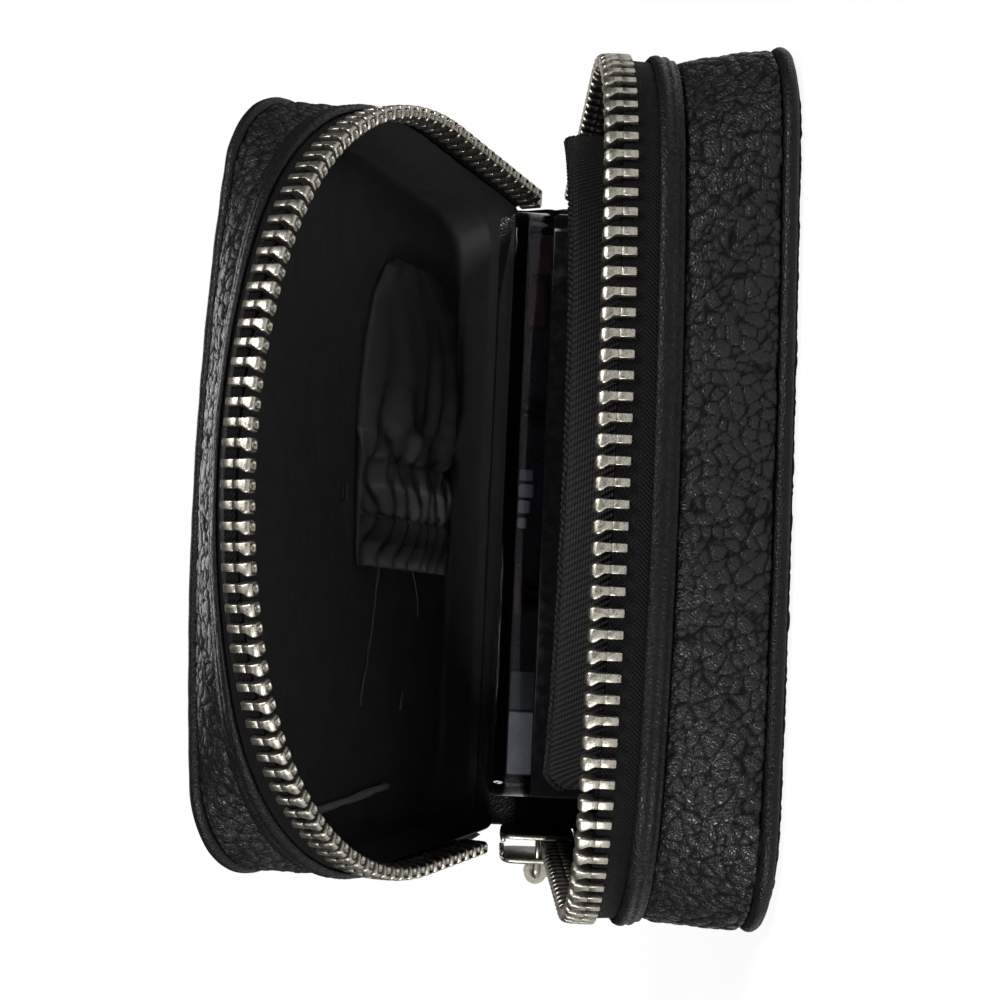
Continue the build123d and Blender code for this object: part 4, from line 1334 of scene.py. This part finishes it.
class CASE_OT_insert(bpy.types.Operator):
    """Black insert tray, its divider, pans, powder, pin, clear cover and what shows through its side"""

    bl_idname = "case.insert"
    bl_label = "Insert"

    def execute(self, context):
        start_piece(context)
        low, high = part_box("insert_cover")
        low_x, high_x = low.x / MM, high.x / MM
        near, top = low.y / MM, high.z / MM
        tray_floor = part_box("insert_tray")[0].z / MM
        far = near + COVER_WIDTH
        wall, roof, notch = 1.5, 1.7, 0.8

        def ring(shrink, z, radius=3.0, lift=0.0):
            ends = (low_x + shrink, high_x - shrink, near + shrink, far - shrink)
            flat = rounded_ring(*ends, max(radius - shrink, 0.4), 8)
            rise = lift * np.clip((flat[:, 0] - (high_x - notch)) / notch, 0, 1)
            return np.column_stack([flat, z + rise])

        cover = [ring(20, top - roof), ring(wall + 0.25, top - roof), ring(wall + 0.07, top - roof - 0.07)]
        cover += [ring(wall, top - roof - 0.25), ring(wall, COVER_RIM + 0.1), ring(wall - 0.1, COVER_RIM)]
        cover += [ring(0.12, COVER_RIM, lift=notch), ring(0, COVER_RIM + 0.12, lift=notch), ring(0, top - 0.32)]
        cover += [ring(0.09, top - 0.1), ring(0.32, top), ring(0.9, top), ring(20, top)]
        pin_y, pin_z = far + PIN_SET_OUT, TRAY_RIM
        bodies = [lofted(cover)]
        for x in COVER_BARRELS:
            bodies.append(barrel(x - 4, x + 4, pin_y, pin_z, BARREL_RADIUS, BARREL_BORE))
            bodies.append(soft_box((x - 3.9, far - 0.1, COVER_RIM + 0.1), (x + 3.9, far + 0.9, COVER_RIM + 1.4), 0.2))
        piece = mesh_piece("insert_clear_cover", *many(bodies), FINISHES["cover"])
        attach(piece, "base", "cover_clear", "insert_cover")

        inner = [ring(20, tray_floor + wall), ring(wall + 0.8, tray_floor + wall)]
        inner += [ring(wall + 0.2, tray_floor + wall + 0.2), ring(wall, tray_floor + wall + 0.8)]
        inner += [ring(wall, TRAY_RIM - 0.15), ring(wall - 0.12, TRAY_RIM)]
        inner += [ring(0.15, TRAY_RIM, lift=-notch), ring(0, TRAY_RIM - 0.15, lift=-notch), ring(0, tray_floor + 1.2)]
        inner += [ring(0.3, tray_floor + 0.35), ring(1.2, tray_floor), ring(20, tray_floor)]
        bodies = [lofted(inner)]
        for x in TRAY_BARRELS:
            bodies.append(barrel(x - 4, x + 4, pin_y, pin_z, BARREL_RADIUS, BARREL_BORE))
            bodies.append(soft_box((x - 3.9, far - 0.1, TRAY_RIM - 1.5), (x + 3.9, far + 0.9, TRAY_RIM - 0.1), 0.2))
        piece = mesh_piece("insert_black_tray", *many(bodies), FINISHES["tray"])
        attach(piece, "base", "tray_black", "insert_tray")
        for name, finish, blocks in INSERT_CONTENTS:
            side_y = near + wall + 0.1
            bodies = [soft_box((a, side_y, c), (b, side_y + 0.65, d), 0.25) for a, b, c, d in blocks]
            piece = mesh_piece(f"insert_{name}", *many(bodies), FINISHES[finish])
            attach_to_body(piece, "base")
        for node, finish in (
            ("insert_divider", "tray"),
            ("insert_pans", "pan"),
            ("insert_powder", "powder"),
            ("insert_hinge_pin", "pin"),
        ):
            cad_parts[node].data.materials.clear()
            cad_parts[node].data.materials.append(FINISHES[finish])
        return {"FINISHED"}


def softened(corners, rounds=3):
    """A closed polygon with its corners cut round."""
    for _ in range(rounds):
        after = np.roll(corners, -1, 0)
        corners = np.stack([0.8 * corners + 0.2 * after, 0.2 * corners + 0.8 * after], 1).reshape(-1, 2)
    return corners


class CASE_OT_slider(bpy.types.Operator):
    """Cast slider with crowned plates, side lips, a nose post and a crown bar, and its pull"""

    bl_idname = "case.slider"
    bl_label = "Slider"

    def execute(self, context):
        start_piece(context)
        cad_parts["pull_tab"].data.materials.clear()
        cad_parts["pull_tab"].data.materials.append(FINISHES["slider"])
        side = BASE.rim.corner_centre + BASE.rim.corner * np.array((cos(END_TAPER), sin(END_TAPER)))
        spot = side + np.array((-sin(END_TAPER), cos(END_TAPER))) * (-SLIDER_PARK - side[1]) / cos(END_TAPER)
        origin = BASE.world((-spot[0], spot[1], 0))
        along = np.array((-sin(END_TAPER), -cos(END_TAPER), 0))
        out = np.array((-cos(END_TAPER), sin(END_TAPER), 0))

        def placed_here(points):
            points = np.asarray(points)
            return origin + points[:, :1] * along + points[:, 1:2] * (0, 0, 1) + points[:, 2:] * out

        reach, gap, face, half = SLIDER_REACH, SLIDER_GAP, SLIDER_GAP + SLIDER_PLATE, SLIDER_LENGTH / 2
        lip = half - 2
        corners = [(-half, reach - 1.2), (-lip, reach), (lip, reach), (half, reach - 0.9)]
        plan = softened(np.array(corners + [(x, -y) for x, y in corners[::-1]]))
        bodies = []
        for way in (1, -1):
            steps = ((gap, 0.975), (gap + 0.1, 1), (face - 0.42, 1), (face - 0.2, 0.975), (face - 0.06, 0.92))
            steps += ((face, 0.84), (face, 0.3))
            bodies.append(lofted([np.column_stack([plan * s, np.full(len(plan), way * z)]) for z, s in steps]))
            for up in (-1, 1):
                low, high = sorted((up * reach, up * (reach - SLIDER_LIP)))
                near, far = sorted((way * SLIDER_SLIT, way * (gap + 0.2)))
                bodies.append(soft_box((-lip, low, near), (lip, high, far), 0.3, 0.1))
        bodies.append(soft_box((half - 1.8, -0.35, -gap - 0.1), (half - 0.2, 0.35, gap + 0.1), 0.3, 0.05))
        points, faces = many(bodies)
        piece = mesh_piece("slider_cast_body", placed_here(points), faces, FINISHES["slider"])
        attach(piece, "slider", "zip_metal", "slider_body")
        bar = face + CROWN_RISE
        turns = np.linspace(0, pi / 2, 9)
        corner = np.column_stack([CROWN_HALF - 0.9 + 0.9 * np.cos(turns), 0 * turns, bar - 0.9 + 0.9 * np.sin(turns)])
        arch = np.concatenate([[(CROWN_HALF, 0, face - 0.3)], corner])
        arch = np.concatenate([arch, arch[::-1] * (-1, 1, 1)])
        arch = placed_here(resampled(arch, 60))
        piece = tube_along("slider_crown_bar", arch, CROWN_RADIUS, 20, FINISHES["slider"], False)
        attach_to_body(piece, "slider")
        return {"FINISHED"}


FLOOR_HALF = 3000.0
WORLD_LEVEL = 0.05
# How much of the white surroundings shows in clear plastic and in metal
WHITE_IN_GLASS = 0.04
WHITE_IN_METAL = 0.2
SENSOR_WIDTH = 36.0
LENS = 64.8
CAMERA_AT = Vector((-0.0227, -0.2489, 0.0415))
CAMERA_AXES = (
    (0.04349, -0.03593, -0.99841),
    (0.99546, -0.08309, 0.04635),
    (-0.08462, -0.99589, 0.03215),
)
LAMPS = (
    ("key", (0.35, -0.45, 0.55), 0.22, 6.0),
    ("low_key", (-0.36, -0.3, 0.12), 0.14, 2.2),
    ("front", (-0.05, -0.45, 0.5), 0.12, 0.7),
    ("back_fill", (0.1, 0.7, 0.6), 0.6, 3.0),
)


class CASE_OT_stage(bpy.types.Operator):
    """Pale floor, white surroundings, soft studio lamps and the camera"""

    bl_idname = "case.stage"
    bl_label = "Stage"

    def execute(self, context):
        scene = context.scene
        scene.view_settings.view_transform = "Standard"
        camera = bpy.data.objects.new("camera", bpy.data.cameras.new("camera"))
        camera.data.sensor_width, camera.data.lens = SENSOR_WIDTH, LENS
        camera.data.clip_start, camera.data.clip_end = 0.01, 20.0
        right, up, back = CAMERA_AXES
        turn = Matrix((right, up, back)).transposed().to_4x4()
        camera.matrix_world = Matrix.Translation(CAMERA_AT) @ turn
        scene.collection.objects.link(camera)
        scene.camera = camera

        corners = [(x * FLOOR_HALF, y * FLOOR_HALF, 0) for x, y in ((-1, -1), (1, -1), (1, 1), (-1, 1))]
        floor = mesh_piece("floor", corners, [(0, 1, 2, 3)], self.floor_material())
        for name, spot, size, power in LAMPS:
            lamp = bpy.data.objects.new(name, bpy.data.lights.new(name, "AREA"))
            lamp.data.shape, lamp.data.size = "DISK", size
            lamp.data.energy = power
            lamp.location = spot
            aim = Vector((0, 0, 0.02)) - Vector(spot)
            lamp.rotation_euler = aim.to_track_quat("-Z", "Y").to_euler()
            # The clear cover stays dark inside instead of showing the lamps' discs
            lamp.visible_transmission = False
            scene.collection.objects.link(lamp)
        self.light_world(scene)
        return {"FINISHED"}

    def floor_material(self):
        """Matte white; to the camera mostly plain white, so that a soft shadow stays, and less in metal and glass."""
        material, tree, shader, where = new_material("floor_white", base_color=(0.9, 0.9, 0.9, 1), roughness=0.9)
        path = tree.nodes.new("ShaderNodeLightPath")
        shine = math_node(tree, "MULTIPLY", path.outputs["Is Glossy Ray"], WHITE_IN_METAL)
        through = math_node(tree, "MULTIPLY", path.outputs["Is Transmission Ray"], WHITE_IN_GLASS)
        seen = math_node(tree, "MAXIMUM", path.outputs["Is Camera Ray"], math_node(tree, "MAXIMUM", through, shine))
        away = tree.nodes.new("ShaderNodeVectorMath")
        away.operation = "LENGTH"
        tree.links.new(where.outputs["Object"], away.inputs[0])
        plainness = ramp(tree, away.outputs["Value"], 0.05, 0.22, 0.92, 1.0)
        share = math_node(tree, "MULTIPLY", seen, plainness)
        plain = tree.nodes.new("ShaderNodeEmission")
        plain.inputs["Color"].default_value = (1, 1, 1, 1)
        mix = tree.nodes.new("ShaderNodeMixShader")
        tree.links.new(share, mix.inputs["Fac"])
        tree.links.new(shader.outputs[0], mix.inputs[1])
        tree.links.new(plain.outputs[0], mix.inputs[2])
        tree.links.new(mix.outputs[0], tree.nodes["Material Output"].inputs["Surface"])
        return material

    def light_world(self, scene):
        """White to the camera, a small share of it through glass, and a soft level for its light."""
        world = bpy.data.worlds.new("studio")
        scene.world = world
        world.use_nodes = True
        tree = world.node_tree
        soft = tree.nodes["Background"]
        soft.inputs["Color"].default_value = (1, 1, 1, 1)
        soft.inputs["Strength"].default_value = WORLD_LEVEL
        white = tree.nodes.new("ShaderNodeBackground")
        white.inputs["Color"].default_value = (1, 1, 1, 1)
        white.inputs["Strength"].default_value = 1.0
        path = tree.nodes.new("ShaderNodeLightPath")
        through = math_node(tree, "MULTIPLY", path.outputs["Is Transmission Ray"], WHITE_IN_GLASS)
        seen = math_node(tree, "MAXIMUM", path.outputs["Is Camera Ray"], through)
        mix = tree.nodes.new("ShaderNodeMixShader")
        tree.links.new(seen, mix.inputs["Fac"])
        tree.links.new(soft.outputs[0], mix.inputs[1])
        tree.links.new(white.outputs[0], mix.inputs[2])
        tree.links.new(mix.outputs[0], tree.nodes["World Output"].inputs["Surface"])


class CASE_PT_panel(bpy.types.Panel):
    """Sizes, colours and pieces of the case"""

    bl_label = "Organizer case"
    bl_idname = "CASE_PT_panel"
    bl_space_type = "VIEW_3D"
    bl_region_type = "UI"
    bl_category = "Case"

    def draw(self, context):
        for group in (context.scene.case_sizes, context.scene.case_colours):
            box = self.layout.box()
            for name in group.__annotations__:
                box.prop(group, name)
        for piece in PIECES:
            self.layout.operator(piece.bl_idname)


PIECES = (
    CASE_OT_side_walls,
    CASE_OT_panels,
    CASE_OT_piping,
    CASE_OT_bindings,
    CASE_OT_tapes,
    CASE_OT_teeth,
    CASE_OT_spine,
    CASE_OT_linings,
    CASE_OT_collar,
    CASE_OT_pocket,
    CASE_OT_insert,
    CASE_OT_slider,
    CASE_OT_stage,
)
CLASSES = (CaseSizes, CaseColours, *PIECES, CASE_PT_panel)


def register():
    for cls in CLASSES:
        bpy.utils.register_class(cls)
    bpy.types.Scene.case_sizes = PointerProperty(type=CaseSizes)
    bpy.types.Scene.case_colours = PointerProperty(type=CaseColours)


def unregister():
    del bpy.types.Scene.case_sizes
    del bpy.types.Scene.case_colours
    for cls in reversed(CLASSES):
        bpy.utils.unregister_class(cls)


def main():
    """Builds every piece in order."""
    register()
    for piece in PIECES:
        area, name = piece.bl_idname.split(".")
        getattr(getattr(bpy.ops, area), name)()


if __name__ == "__main__":
    main()
